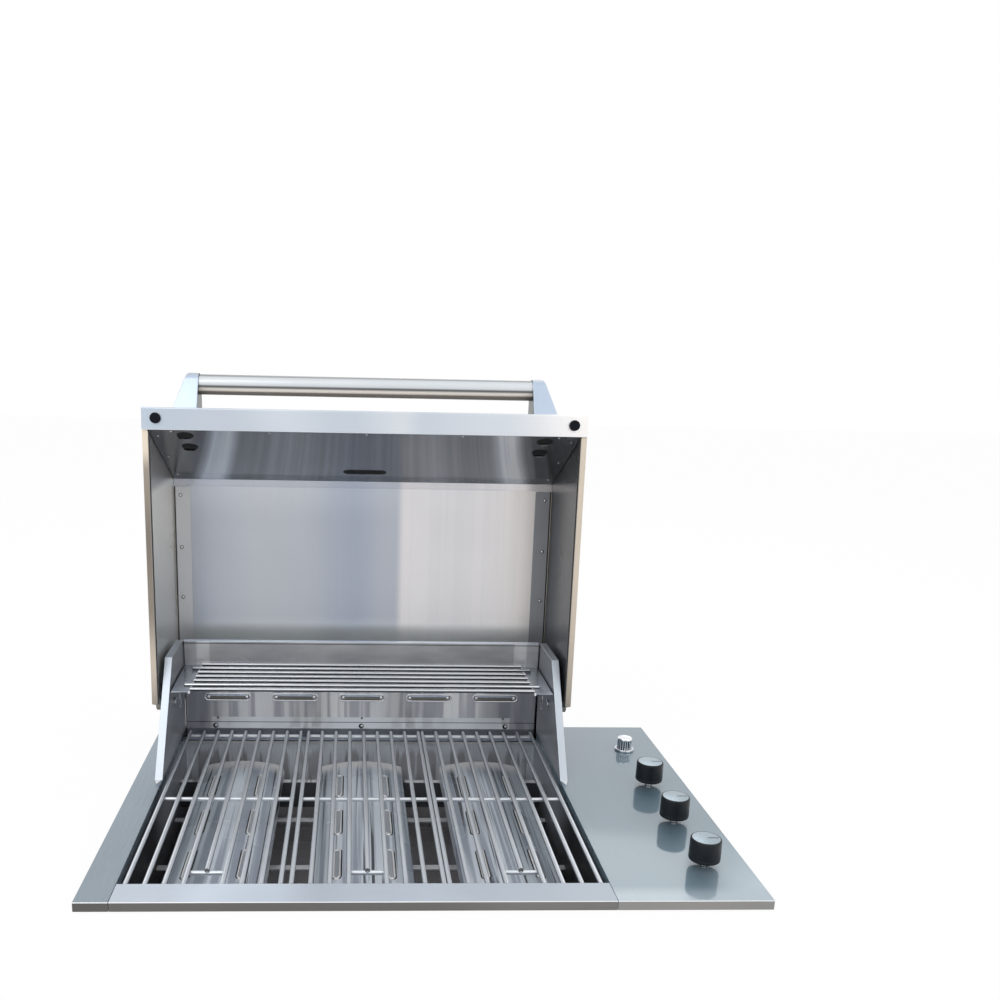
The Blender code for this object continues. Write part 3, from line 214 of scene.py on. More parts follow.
grain = bpy.data.node_groups.new("brushed_grain", "ShaderNodeTree")
for way, name, kind in (("INPUT", "Along", "Vector"), ("INPUT", "Depth", "Float"),
                        ("OUTPUT", "Lines", "Float"), ("OUTPUT", "Marks", "Float"),
                        ("OUTPUT", "Bump", "Vector")):
    grain.interface.new_socket(name, in_out=way, socket_type="NodeSocket" + kind)
given = node(grain, "NodeGroupInput").outputs
place = node(grain, "TexCoord").outputs["Object"]
fine = noise(grain, scaled(grain, place, given["Along"]), 1.0, 4.0, 0.7)
marks = noise(grain, place, 7.0, 1.5, 0.45)
bump = node(grain, "Bump", {"Strength": given["Depth"], "Distance": 0.0002, "Height": fine})
node(grain, "NodeGroupOutput", {"Lines": fine, "Marks": marks, "Bump": bump.outputs[0]})


def mix_tone(tree, share, low, high):
    """Blend two colours by a share; each may be a value or an output."""
    return node(tree, "Mix", {0: share, 6: low, 7: high}, data_type="RGBA").outputs[2]


def span(tree, value, low, high, to_low=0.0, to_high=1.0, smooth=True):
    """Map a value's span onto another one, held at both ends."""
    inputs = {"Value": value, "From Min": low, "From Max": high, "To Min": to_low, "To Max": to_high}
    return node(tree, "MapRange", inputs, interpolation_type="SMOOTHSTEP" if smooth else "LINEAR").outputs[0]


def steel(name, tone, along=ALONG_X, rough=0.30, depth=0.12, lines=0.16, metallic=1.0, more=None):
    """Brushed steel. Its tone is a colour or a function that adds nodes, and
    more holds values for further sockets of the shader."""
    made = bpy.data.materials.new(name)
    made.use_nodes = True
    tree = made.node_tree
    brushed = node(tree, "Group", {"Along": along, "Depth": depth}, node_tree=grain)
    marks = brushed.outputs["Marks"]
    shade = span(tree, brushed.outputs["Lines"], 0.25, 0.75, 1.0 - lines, 1.0 + lines, False)
    shade = maths(tree, "MULTIPLY", shade, span(tree, marks, 0.3, 0.7, 0.96, 1.04))
    feed(tree.nodes["Principled BSDF"], {
        "Metallic": metallic,
        "Base Color": scaled(tree, tone(tree) if callable(tone) else tone, shade),
        "Roughness": span(tree, marks, 0.25, 0.75, rough - 0.02, rough + 0.04),
        "Normal": brushed.outputs["Bump"],
        **(more or {}),
    })
    return made


corners = bpy.data.node_groups.new("joined_corners", "GeometryNodeTree")
for way in ("INPUT", "OUTPUT"):
    corners.interface.new_socket("Geometry", in_out=way, socket_type="NodeSocketGeometry")
raw = node(corners, "NodeGroupInput")
welded = node(corners, "GeometryNodeMergeByDistance", {"Geometry": raw.outputs[0], "Distance": WELD_REACH})
rounded = node(corners, "GeometryNodeSetShadeSmooth", {"Geometry": welded.outputs["Geometry"]})
edges = node(corners, "GeometryNodeInputMeshEdgeAngle")
sharp = node(corners, "FunctionNodeCompare", {"A": edges.outputs["Unsigned Angle"], "B": CORNER_TURN},
             data_type="FLOAT", operation="GREATER_THAN")
creased = node(corners, "GeometryNodeSetShadeSmooth", {
    "Geometry": rounded.outputs["Geometry"],
    "Selection": sharp.outputs["Result"],
    "Shade Smooth": False,
}, domain="EDGE")
node(corners, "NodeGroupOutput", {0: creased.outputs["Geometry"]})


def dress(names, material, edge=0.0, steps=2, turn=28.0):
    """Give CAD nodes a finish and, with modifiers alone, folded edges."""
    for name in names.split():
        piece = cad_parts[name]
        piece.material_slots[0].material = material
        joined = piece.modifiers.new("joined", "NODES")
        joined.node_group = corners
        if edge:
            flat = piece.modifiers.new("flat", "DECIMATE")
            flat.decimate_type = "DISSOLVE"
            flat.angle_limit = math.radians(1.0)
            fold = piece.modifiers.new("fold", "BEVEL")
            fold.width = edge
            fold.segments = steps
            fold.limit_method = "ANGLE"
            fold.angle_limit = math.radians(turn)
            fold.use_clamp_overlap = True
        shade = piece.modifiers.new("shade", "WEIGHTED_NORMAL")
        shade.weight = 80
        shade.keep_sharp = True


def place_on(tree, axis, both_ways=False):
    """A point's place along an axis, or its distance from the middle."""
    spot = node(tree, "SeparateXYZ", {0: node(tree, "TexCoord").outputs["Object"]}).outputs[axis]
    return maths(tree, "ABSOLUTE", spot) if both_ways else spot


def normal_on(tree, axis):
    """How far a surface's normal runs along an axis, from -1 to 1."""
    return node(tree, "SeparateXYZ", {0: node(tree, "TexCoord").outputs["Normal"]}).outputs[axis]


def reach(tree, axis, low, high):
    """How far along an axis a place lies, from 0 to 1."""
    return span(tree, place_on(tree, axis), low, high)


def facing(tree, axis, low, high):
    """How far a surface turns towards an axis, from 0 to 1."""
    return span(tree, normal_on(tree, axis), low, high)


def times(tree, one, two):
    """The product of two shares."""
    return maths(tree, "MULTIPLY", one, two)


def band(tree, value, low, high, soft=0.0005):
    """One between two values, fading out over a soft edge."""
    return times(tree, span(tree, value, low - soft, low), span(tree, value, high + soft, high))


def streaks(tree, scale, low=0.40, high=0.60, spot=None):
    """Soft reflections drawn out along one axis, from 0 to 1."""
    wide = scaled(tree, spot or node(tree, "TexCoord").outputs["Object"], scale)
    return span(tree, noise(tree, wide, 1.0, 2.5, 0.6), low, high)


def outward(tree):
    """One on upright faces that look away from the grill's middle."""
    where = node(tree, "TexCoord").outputs
    level = scaled(tree, where["Object"], (1.0, 1.0, 0.0))
    away = node(tree, "VectorMath", {0: where["Normal"], 1: level}, operation="DOT_PRODUCT")
    return span(tree, away.outputs["Value"], 0.05, 0.15)


def firebox_tone(tree):
    """Ends painted with light over streaks of painted shadow, a painted highlight on the rim and a painted
    shade line above it; sides painted dark as shade, clearing to painted light at the rear.
    """
    lit = maths(tree, "ADD", streaks(tree, (60.0, 0.0, 3.0)), reach(tree, "Z", 0.150, 0.195))
    ends = mix_tone(tree, span(tree, lit, 0.20, 0.80), FIREBOX_SHADOW_TONE, FIREBOX_LIT_TONE)
    ends = mix_tone(tree, reach(tree, "Z", 0.12, 0.08), ends, FIREBOX_LOW_LIGHT_TONE)
    ends = mix_tone(tree, band(tree, place_on(tree, "Z"), *FIREBOX_RIM_HIGHLIGHT_Z), ends, WHITE)
    ends = mix_tone(tree, reach(tree, "Z", *FIREBOX_EDGE_SHADE_Z), ends, FIREBOX_SIDE_SHADE_TONE)
    rear = times(tree, reach(tree, "Y", -0.05, 0.10), reach(tree, "Z", 0.06, 0.15))
    sides = mix_tone(tree, rear, FIREBOX_SIDE_SHADE_TONE, FIREBOX_CORNER_LIGHT_TONE)
    turned = span(tree, maths(tree, "ABSOLUTE", normal_on(tree, "X")), 0.35, 0.65)
    return mix_tone(tree, outward(tree), mix_tone(tree, turned, ends, sides), FIREBOX_OUT_TONE)


def tray_tone(tree):
    """Streaks of painted reflection inside, an even painted light at the rear, and dull outside."""
    plain = mix_tone(tree, streaks(tree, (46.0, 0.0, 0.0), 0.50, 0.64), TRAY_DARK_REFLECTION_TONE, TRAY_REFLECTION_TONE)
    plain = mix_tone(tree, reach(tree, "Y", 0.06, 0.12), plain, TRAY_REAR_LIGHT_TONE)
    plain = mix_tone(tree, facing(tree, "Z", -0.5, -0.9), plain, TRAY_OUT_TONE)
    return mix_tone(tree, outward(tree), plain, TRAY_OUT_TONE)


dress("firebox_shell", steel("firebox_steel", firebox_tone, ALONG_Z, 0.30, 0.03, metallic=0.15))
dress("drip_tray", steel("tray_steel", tray_tone, ALONG_X, 0.20, 0.02, metallic=0.15),
      SHEET_EDGE)

# ---- Burners, their rails and braces ----
# Three stainless tube burners sit in two folded rails, over two flat braces.
# The tubes are drilled along both flanks with small gas ports.
BURNER_TONE = (0.50, 0.51, 0.53)
# The rails are painted dark as shade, with a painted sheen in streaks on their tops.
RAIL_SHADE_TONE = (0.085, 0.09, 0.10)
RAIL_TOP_SHEEN_TONE = (0.95, 0.97, 1.00)
BRACE_TONE = (0.92, 0.95, 0.99)
BURNER_R = 0.01205
PORT_PITCH = 0.009
PORT_START = 0.05
PORT_MARGIN = 0.07
PORT_R = 0.0011
PORT_TURN = math.radians(35)
PORT_SHADE_TONE = (0.012, 0.012, 0.012)
SIDES = ("left", "middle", "right")


def circle(middle, along, across, radius, sides):
    """Points round a circle in a plane."""
    turns = [k * math.tau / sides for k in range(sides)]
    return [middle + along * (radius * math.cos(turn)) + across * (radius * math.sin(turn)) for turn in turns]


def flat(ring, way=1):
    """One flat face from its outline; way -1 turns it over."""
    return ring, [tuple(range(len(ring)))[::way]]


def gather(name, shapes, material, smooth=40):
    """One piece from several runs of points and faces."""
    spots, faces = [], []
    for points, sides in shapes:
        faces += [tuple(i + len(spots) for i in side) for side in sides]
        spots += list(points)
    return new_piece(name, spots, faces, material, smooth)


def plain_paint(name, tone, rough=0.5, metallic=0.0, variation=0.12, scale=60.0, more=None):
    """A dull finish whose tone and gloss vary a little over the surface; more
    holds values for further sockets of the shader."""
    made = bpy.data.materials.new(name)
    made.use_nodes = True
    tree = made.node_tree
    place = node(tree, "TexCoord").outputs["Object"]
    cloud = noise(tree, place, scale, 4.0)
    shade = span(tree, cloud, 0.3, 0.7, 1.0 - variation, 1.0 + variation)
    fleck = noise(tree, place, scale * 30, 2.0)
    bump = node(tree, "Bump", {"Strength": 0.15, "Distance": 0.0002, "Height": fleck})
    feed(tree.nodes["Principled BSDF"], {
        "Metallic": metallic,
        "Base Color": scaled(tree, tone, shade),
        "Roughness": span(tree, cloud, 0.3, 0.7, rough - 0.05, rough + 0.08),
        "Normal": bump.outputs[0],
        **(more or {}),
    })
    return made


def rail_tone(tree):
    """Folded strip painted dark as shade, with streaks of painted sheen on its top."""
    top = mix_tone(tree, streaks(tree, (90.0, 0.0, 0.0), 0.35, 0.55), RAIL_SHADE_TONE, RAIL_TOP_SHEEN_TONE)
    return mix_tone(tree, facing(tree, "Z", 0.3, 0.7), RAIL_SHADE_TONE, top)


dress("burner_left burner_middle burner_right",
      steel("burner_steel", BURNER_TONE, ALONG_Y, 0.34, metallic=0.60))
dress("burner_rail_front burner_rail_rear", steel("rail_steel", rail_tone, ALONG_X, 0.40, metallic=0.20),
      0.0006)
dress("burner_brace_front burner_brace_rear", steel("brace_steel", BRACE_TONE, ALONG_X, 0.30, metallic=0.20),
      0.0006)
# Each gas port is a dark disc on the tube: painted shade that stands for the hole.
ports = []
for side in SIDES:
    low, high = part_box("burner_" + side)
    middle = (low + high) / 2
    for way in (-1.0, 1.0):
        out_way = Vector((way * math.cos(PORT_TURN), 0.0, math.sin(PORT_TURN)))
        over = Vector((-out_way.z, 0.0, out_way.x))
        for k in range(int((high.y - low.y - PORT_MARGIN) / PORT_PITCH)):
            spot = Vector((middle.x, low.y + PORT_START + k * PORT_PITCH, middle.z)) + out_way * BURNER_R
            ports.append(flat(circle(spot, Vector((0.0, 1.0, 0.0)), over, PORT_R, 8), int(way)))
burner_ports = gather("burner_ports", ports, plain_paint("port_shade", PORT_SHADE_TONE, 0.8))
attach(burner_ports, "grill_body")

# ---- Flame tamers ----
# Low arched stainless plates shield the burners. Each side is pierced by three
# long louvres, with a rolled rim round a blade that leans into the slot.
# Tamer tones are painted light: streaks of painted reflection between lit and shaded tones, painted shade on
# outward slopes and a painted highlight at the rear ends.
TAMER_LIT_TONE = (0.84, 0.91, 1.00)
TAMER_SHADE = (0.44, 0.49, 0.58)
TAMER_DARK_REFLECTION_TONE = (0.10, 0.108, 0.12)
TAMER_OUTER_SHADE_SHARE = (0.66, 0.68, 0.68)
TAMER_ARCH_R = 0.2381
LOUVRE_X = 0.0375
LOUVRE_L = 0.080
LOUVRE_W = 0.0088
LOUVRE_ROWS = (-0.1260, 0.0050, 0.1384)
LIP_R = 0.0013
LIP_HIGHLIGHT_TONE = (1.00, 1.00, 1.00)
LIP_END_GLINT_BEAD = Vector((0.0038, 0.0034, 0.0016))
BLADE_TONE = (0.60, 0.64, 0.69)
BLADE_RISE = 0.0008
BLADE_TILT = 0.10
LOUVRE_SHADE_TONE = (0.018, 0.019, 0.022)
LOUVRE_SHADE_RISE = 0.0002
LOUVRE_SHADE_MARGIN = 4.5 * LIP_R


def outward_x(tree):
    """Above zero where a face looks sideways from the middle, else below."""
    return times(tree, normal_on(tree, "X"), place_on(tree, "X"))


def tamer_tone(tree):
    """Sheet with long streaks of painted reflection, painted shade on slopes that face outwards, and a
    painted highlight at the rear ends.
    """
    plain = mix_tone(tree, streaks(tree, (70.0, 1.0, 0.0), 0.42, 0.56), TAMER_SHADE, TAMER_LIT_TONE)
    plain = mix_tone(tree, streaks(tree, (120.0, 1.5, 0.0), 0.57, 0.64), plain, TAMER_DARK_REFLECTION_TONE)
    dull = scaled(tree, plain, TAMER_OUTER_SHADE_SHARE)
    plain = mix_tone(tree, span(tree, outward_x(tree), 0.003, 0.016), plain, dull)
    return mix_tone(tree, reach(tree, "Y", 0.19, 0.235), plain, WHITE)


def stretched(work, size, middle):
    """Scale a bmesh along each axis and set it in place."""
    for v in work.verts:
        v.co = Vector((v.co.x * size.x, v.co.y * size.y, v.co.z * size.z)) + middle


def taken(work):
    """The points and faces of a bmesh, which is freed."""
    work.verts.index_update()
    spots = [v.co.copy() for v in work.verts]
    faces = [tuple(v.index for v in f.verts) for f in work.faces]
    work.free()
    return spots, faces


def bead(middle, size):
    """A low round lump, such as a weld bead where two bars cross."""
    work = bmesh.new()
    bmesh.ops.create_icosphere(work, subdivisions=2, radius=1.0)
    stretched(work, size, middle)
    return taken(work)


def ring_faces(count, sides, closed=False):
    """Faces between rings of points, and a cap at both ends unless closed."""
    faces = []
    for i in range(count if closed else count - 1):
        one, two = i * sides, (i + 1) % count * sides
        for k in range(sides):
            j = (k + 1) % sides
            faces.append((one + k, one + j, two + j, two + k))
    if not closed:
        faces += [tuple(range(sides))[::-1], tuple(range((count - 1) * sides, count * sides))]
    return faces


def tube(path, radius, sides=12, closed=False, domed=False):
    """Points and faces of a round bar bent along a path."""
    count = len(path)
    last = None
    rings = []
    for i, spot in enumerate(path):
        back = path[i - 1] if i or closed else spot
        front = path[(i + 1) % count] if i < count - 1 or closed else spot
        run = (front - back).normalized()
        if last is None:
            last = run.orthogonal().normalized()
        side = (last - run * last.dot(run)).normalized()
        last = side
        rings.append((spot, run, side, radius))
    if domed:
        (a, run_a, side_a, _), (b, run_b, side_b, _) = rings[0], rings[-1]
        dome = [(radius * math.sin(turn), radius * math.cos(turn)) for turn in (0.4, 0.8, 1.25)]
        lead = [(a - run_a * out_to, run_a, side_a, size) for out_to, size in reversed(dome)]
        tail = [(b + run_b * out_to, run_b, side_b, size) for out_to, size in dome]
        rings = lead + rings + tail
    spots = []
    for spot, run, side, size in rings:
        spots += circle(spot, side, run.cross(side), size, sides)
    return spots, ring_faces(len(rings), sides, closed)


def oval(length, width, steps=8):
    """Points round a slot with round ends, its length along the first axis."""
    radius = width / 2
    straight = length / 2 - radius
    ends = []
    for way in (1.0, -1.0):
        for k in range(steps + 1):
            turn = -math.pi / 2 + math.pi * k / steps
            ends.append((way * (straight + radius * math.cos(turn)), way * radius * math.sin(turn)))
    return ends


dress("flame_tamer_left flame_tamer_middle flame_tamer_right",
      steel("tamer_steel", tamer_tone, ALONG_Y, 0.26, 0.01, 0.02, metallic=0.12), 0.0009)
# The louvre rims are painted white as a highlight, a bead at each slot's front end stands for its scoop and
# carries a painted glint, and the dark plates round the slots are painted shade.
lip_steel = steel("louvre_lip_steel", LIP_HIGHLIGHT_TONE, ALONG_Y, 0.16, 0.01, 0.03, metallic=0.25)
blade_steel = steel("louvre_blade_steel", BLADE_TONE, ALONG_Y, 0.30, 0.01, 0.03, metallic=0.6)
louvre_dark = plain_paint("louvre_shade", LOUVRE_SHADE_TONE, 0.7)
for side in SIDES:
    low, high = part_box("flame_tamer_" + side)
    middle, crown = (low.x + high.x) / 2, high.z
    arch_z = crown - TAMER_ARCH_R + math.sqrt(TAMER_ARCH_R ** 2 - LOUVRE_X ** 2)
    lean = math.asin(LOUVRE_X / TAMER_ARCH_R)
    lips, blades, shades = [], [], []
    for way in (-1.0, 1.0):
        across = Vector((way * math.cos(lean), 0.0, -math.sin(lean)))
        raised = Vector((way * math.sin(lean), 0.0, math.cos(lean)))
        for y in LOUVRE_ROWS:
            heart = Vector((middle + way * LOUVRE_X, y, arch_z))

            def place(along, over, up):
                return heart + Vector((0.0, along, 0.0)) + across * over + raised * up

            def plate(length, width, height, tilt):
                return flat([place(a, b, height + b * tilt) for a, b in oval(length, width)], int(-way))
            rim = [place(a, b, LIP_R * 0.5) for a, b in oval(LOUVRE_L, LOUVRE_W)]
            lips.append(tube(rim, LIP_R, 8, closed=True))
            lips.append(bead(place(-LOUVRE_L / 2 - LIP_R, 0.0, LIP_R * 0.6), LIP_END_GLINT_BEAD))
            blades.append(plate(LOUVRE_L - LIP_R, LOUVRE_W - LIP_R, BLADE_RISE, BLADE_TILT))
            shades.append(plate(LOUVRE_L + LOUVRE_SHADE_MARGIN, LOUVRE_W + LOUVRE_SHADE_MARGIN,
                                LOUVRE_SHADE_RISE, 0.0))
    for name, shapes, finish in (("tamer_louvres_", lips, lip_steel), ("tamer_blades_", blades, blade_steel),
                                 ("tamer_shades_", shades, louvre_dark)):
        piece = gather(name + side, shapes, finish, 50)
        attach(piece, "grill_body")

# ---- Cooking grates ----
# Three grates of round stainless bar, welded on top of cross bars. The middle
# bar of each stops short of the front; all bend down at the rear.
# Bar tones paint light and shade: lighter at the front, shaded underneath and to the rear, and the cross bars
# evenly lit.
BAR_FRONT_LIGHT_TONE = (0.80, 0.84, 0.89)
BAR_REAR_SHADE_TONE = (0.40, 0.425, 0.46)
BAR_UNDER_SHADE_SHARE = (0.12, 0.126, 0.14)
BAR_END_TONE = (0.30, 0.32, 0.34)
CROSS_BAR_LIT_TONE = (0.78, 0.82, 0.87)
BAR_R = 0.0032
BAR_PITCH = 0.023946
BAR_COUNT = 9
BAR_Z = 0.2105
BAR_FRONT = -0.2687
BAR_TIP = 0.0006
BAR_END = 0.2647
BAR_TURN = 0.006
BAR_TURN_STEPS = 5
BAR_FOOT = 0.1985
SHORT_BAR_FRONT = -0.2305
CROSS_Z = 0.2057
CROSS_Y = (-0.0053, 0.2529)
CROSS_MARGIN = 0.003
SHORT_CROSS_Y = -0.2275
WELD_BEAD = Vector((BAR_R * 1.12, BAR_R * 1.12, 0.0017))


def bar_tone(tree):
    """Bars painted light on top and towards the front, with painted shade underneath; cross bars painted
    evenly lit.
    """
    top = mix_tone(tree, reach(tree, "Y", 0.25, -0.10), BAR_REAR_SHADE_TONE, BAR_FRONT_LIGHT_TONE)
    around = mix_tone(tree, facing(tree, "Z", 0.25, 0.62), scaled(tree, top, BAR_UNDER_SHADE_SHARE), top)
    around = mix_tone(tree, facing(tree, "Y", -0.6, -0.9), around, BAR_END_TONE)
    below = reach(tree, "Z", BAR_Z - BAR_R, BAR_Z - BAR_R - 0.0002)
    upper = reach(tree, "Z", CROSS_Z + BAR_R + 0.0005, CROSS_Z + BAR_R)
    upper = times(tree, facing(tree, "Z", 0.0, 0.3), upper)
    return mix_tone(tree, maths(tree, "MAXIMUM", below, upper), around, CROSS_BAR_LIT_TONE)


bar_steel = steel("grate_bar_steel", bar_tone, (260.0, 30.0, 260.0), 0.30, 0.0, 0.04, metallic=0.60)
half = BAR_PITCH * (BAR_COUNT - 1) / 2
for side in SIDES:
    low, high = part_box("grate_" + side)
    middle = (low.x + high.x) / 2
    shapes = []
    for k in range(BAR_COUNT):
        x = middle - half + k * BAR_PITCH
        from_middle = abs(k - BAR_COUNT // 2)
        start = BAR_FRONT if from_middle else SHORT_BAR_FRONT
        path = [Vector((x, y, BAR_Z)) for y in (start, start + BAR_TIP, 0.0)]
        for j in range(BAR_TURN_STEPS + 1):
            turn = j / BAR_TURN_STEPS * math.pi / 2
            path.append(Vector((x, BAR_END - BAR_TURN + BAR_TURN * math.sin(turn),
                                BAR_Z - BAR_TURN + BAR_TURN * math.cos(turn))))
        path.append(Vector((x, BAR_END, BAR_FOOT)))
        shapes.append(tube(path, BAR_R, 16))
        crossings = (*CROSS_Y, SHORT_CROSS_Y) if from_middle < 2 else CROSS_Y
        shapes += [bead(Vector((x, y, (BAR_Z + CROSS_Z) / 2)), WELD_BEAD) for y in crossings]
    wide = half + CROSS_MARGIN
    for y, out_to in ((CROSS_Y[0], wide), (CROSS_Y[1], wide), (SHORT_CROSS_Y, BAR_PITCH + BAR_R)):
        ends_x = out_to - BAR_R * 0.6
        shapes.append(tube([Vector((middle + x, y, CROSS_Z)) for x in (-ends_x, ends_x)], BAR_R, 14))
    grate = gather("cooking_grate_" + side, shapes, bar_steel, 40)
    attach(grate, "grate_" + side)
    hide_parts("grate_" + side)

# ---- Flange: trims, front strip and control panel ----
# Four folded stainless pieces lie on the counter's edge round the opening. The
# wide right one is the control panel, which mirrors its knobs softly.
# Panel tones are painted light: lighter at the front, shaded to the rear, a pale reflection at the front
# right corner and a highlight on the front lip.
PANEL_FRONT_LIGHT_TONE = (0.168, 0.250, 0.308)
PANEL_REAR_SHADE_TONE = (0.112, 0.182, 0.235)
PANEL_CORNER_REFLECTION_TONE = (0.370, 0.465, 0.535)
# The strip's steps of brightness are a painted reflection of the room.
STRIP_TONE = (0.725, 0.805, 0.905)
STRIP_REFLECTION_SPANS = ((-0.3067, 0.74), (-0.25, 0.82), (-0.19, 0.98), (-0.165, 1.00), (-0.12, 0.96), (-0.05, 0.78),
               (0.03, 0.78), (0.10, 0.83), (0.3067, 0.65))
PANEL_LIP_HIGHLIGHT_TONE = (0.345, 0.430, 0.495)
TRIM_TONE = (0.293, 0.347, 0.396)
# The front edges carry a warm grey painted reflection under a painted highlight along the fold.
FRONT_EDGE_REFLECTION_TONE = (0.128, 0.126, 0.121)
FRONT_EDGE_WARM_REFLECTION_TONE = (0.182, 0.178, 0.170)
FRONT_FOLD_HIGHLIGHT_TONE = (0.95, 0.96, 0.97)
FOLD_R = 0.0007
PANEL_COAT = {"Coat Weight": 1.0, "Coat Roughness": 0.07, "Coat IOR": 2.0}


def folded_front(tree, top):
    """A top tone with the front edge's warm grey painted reflection under a painted highlight along the fold.
    """
    edge = mix_tone(tree, reach(tree, "X", 0.05, 0.20), FRONT_EDGE_REFLECTION_TONE, FRONT_EDGE_WARM_REFLECTION_TONE)
    edge = mix_tone(tree, reach(tree, "Z", 0.2139, 0.2143), edge, FRONT_FOLD_HIGHLIGHT_TONE)
    return mix_tone(tree, facing(tree, "Y", -0.35, -0.55), top, edge)


def panel_tone(tree):
    """Bluish steel with painted light: darker to the rear, a pale painted reflection at its front right
    corner and a painted highlight along its front lip.
    """
    top = mix_tone(tree, reach(tree, "Y", -0.30, 0.10), PANEL_FRONT_LIGHT_TONE, PANEL_REAR_SHADE_TONE)
    corner = times(tree, reach(tree, "X", 0.40, 0.50), reach(tree, "Y", -0.12, -0.31))
    top = mix_tone(tree, corner, top, PANEL_CORNER_REFLECTION_TONE)
    top = mix_tone(tree, reach(tree, "Y", -0.275, -0.305), top, PANEL_LIP_HIGHLIGHT_TONE)
    return folded_front(tree, top)


def trim_tone(tree):
    """Plain steel with the folded front."""
    return folded_front(tree, TRIM_TONE)


def tone_bands(tree, value, stops):
    """A grey level that runs softly through stops along a value."""
    low, high = stops[0][0], stops[-1][0]
    ramp = node(tree, "ValToRGB", {0: span(tree, value, low, high, smooth=False)})
    ramp.color_ramp.interpolation = "EASE"
    bands = ramp.color_ramp.elements
    bands[0].color = (*[stops[0][1]] * 3, 1.0)
    bands[1].color = (*[stops[-1][1]] * 3, 1.0)
    for at, level in stops[1:-1]:
        bands.new((at - low) / (high - low)).color = (level, level, level, 1.0)
    return ramp.outputs[0]


def strip_tone(tree):
    """A painted reflection of the room in broad soft steps along the front strip."""
    return folded_front(tree, scaled(tree, tone_bands(tree, place_on(tree, "X"), STRIP_REFLECTION_SPANS), STRIP_TONE))


panel_steel = steel("panel_steel", panel_tone, ALONG_Y, 0.50, 0.05, 0.08, metallic=0.45, more=PANEL_COAT)
dress("control_panel", panel_steel, FOLD_R, 3)
dress("left_trim rear_trim", steel("trim_steel", trim_tone, ALONG_Y, 0.26, 0.06), FOLD_R, 3)
dress("front_strip", steel("strip_steel", strip_tone, ALONG_X, 0.45, 0.04, 0.05, metallic=0.35),
      FOLD_R, 3)

# ---- Rear wall and side wings ----
# The rear wall stands behind the grates, with five pressed vents and a hem.
# The wings are folded plates that carry the hood pins and the rack ledges.
# Wall tones paint light: streaks of reflection, a gleam, a lit step and lit upward faces, and shade under the
# step.
WALL_TONE = (0.36, 0.375, 0.42)
WALL_REFLECTION_TONE = (1.00, 1.00, 1.00)
WALL_TOP_TONE = (0.37, 0.38, 0.40)
WALL_FOOT_SHADE_TONE = (0.22, 0.235, 0.26)
WALL_LINE_TONE = (0.035, 0.038, 0.045)
WALL_UP_FACE_LIGHT_TONE = (0.78, 0.87, 1.00)
WALL_REFLECTION_SPANS = ((-0.305, 0.10), (-0.283, 0.15), (-0.23, 0.60), (-0.124, 0.65), (-0.018, 0.80), (0.05, 0.55),
              (0.12, 0.60), (0.165, 1.00), (0.19, 1.00), (0.22, 0.30), (0.247, 0.15), (0.305, 0.20))
WALL_GLEAM_X = (0.264, 0.283)
WALL_JOINT_X = (0.3045, 0.3055)
WALL_JOINT_Z = (0.2005, 0.2000)
WALL_Y = 0.2697
HEM_JOINT_Z = (0.3678, 0.3686)
STEP_JOINT_Z = (0.2256, 0.2262)
STEP_LIGHT_TONE = (0.90, 0.93, 0.97)
STEP_END_X = 0.263
# Wing tones add painted light low down and on the tops, and a painted highlight on the folded front faces.
WING_TONE = (0.31, 0.325, 0.35)
WING_LOW_LIGHT_TONE = (0.46, 0.48, 0.52)
WING_TOP_LIGHT_TONE = (0.52, 0.57, 0.63)
WING_EDGE_HIGHLIGHT_TONES = ((0.52, 0.61, 0.71), (0.77, 0.92, 1.00))
WING_TAB_TONE = (0.93, 0.94, 0.95)
WING_FACE_X = 0.3070
WING_FRONT_Y = 0.0417
WING_TAB_L = 0.015
WING_TAB_X = (0.3085, 0.3180)
WING_TAB_H = 0.0009
VENT_PITCH = 0.11666
VENT_L = 0.078
VENT_W = 0.012
VENT_Z = 0.272
VENT_BACK_SHADE_TONE = (0.30, 0.285, 0.26)
VENT_RIM_HIGHLIGHT_TONE = (0.86, 0.88, 0.92)
VENT_RIM_OUT = 0.0001
VENT_END_GLINT_BEAD = Vector((0.0030, 0.0015, 0.0030))
VENT_LIP = 0.0014
VENT_BLADE = 0.0042
VENT_BLADE_BACK = 0.0021
VENT_BLADE_TURN = math.radians(100)
VENT_BLADE_ROWS = 25
VENT_BLADE_ARCS = 6
VENT_REACH = 0.0026
VENT_MARGIN = 0.003
STEP_BAND = (0.2145, 0.2350)
STEP_SCREWS = (-0.2545, 0.0, 0.2545)
STEP_SCREW_Z = 0.2190
STEP_SCREW_R = 0.0027
STEP_SHADOW_R = 0.0046
STEP_SHADOW_SHIFT = 0.0012
STEP_MARKS = (-0.2510, 0.0, 0.2490)
STEP_MARK_Z = 0.2338
STEP_MARK_R = 0.0021
STEP_SHADOW_H = 0.0003
STEP_MARK_H = 0.0004
BOLT_TONE = (0.70, 0.71, 0.73)
SLOT_SHADE_TONE = (0.008, 0.008, 0.009)
MARK_DARK_TONE = (0.10, 0.105, 0.115)
KEY_AT = (0.2237, 0.2830)
KEY_L = 0.0220
KEY_W = 0.0075
KEY_RIM_R = 0.0007
KEY_GLINT_BEAD = Vector((0.0010, 0.0022, 0.0028))
KEY_GLINT_DROP = 0.002
KEY_SHADE_BACK = 0.0002
SCREW_RINGS = ((1.0, 0.0), (1.0, 0.25), (0.9, 0.6), (0.6, 0.9), (0.25, 1.0))
SCREW_SIDES = 16


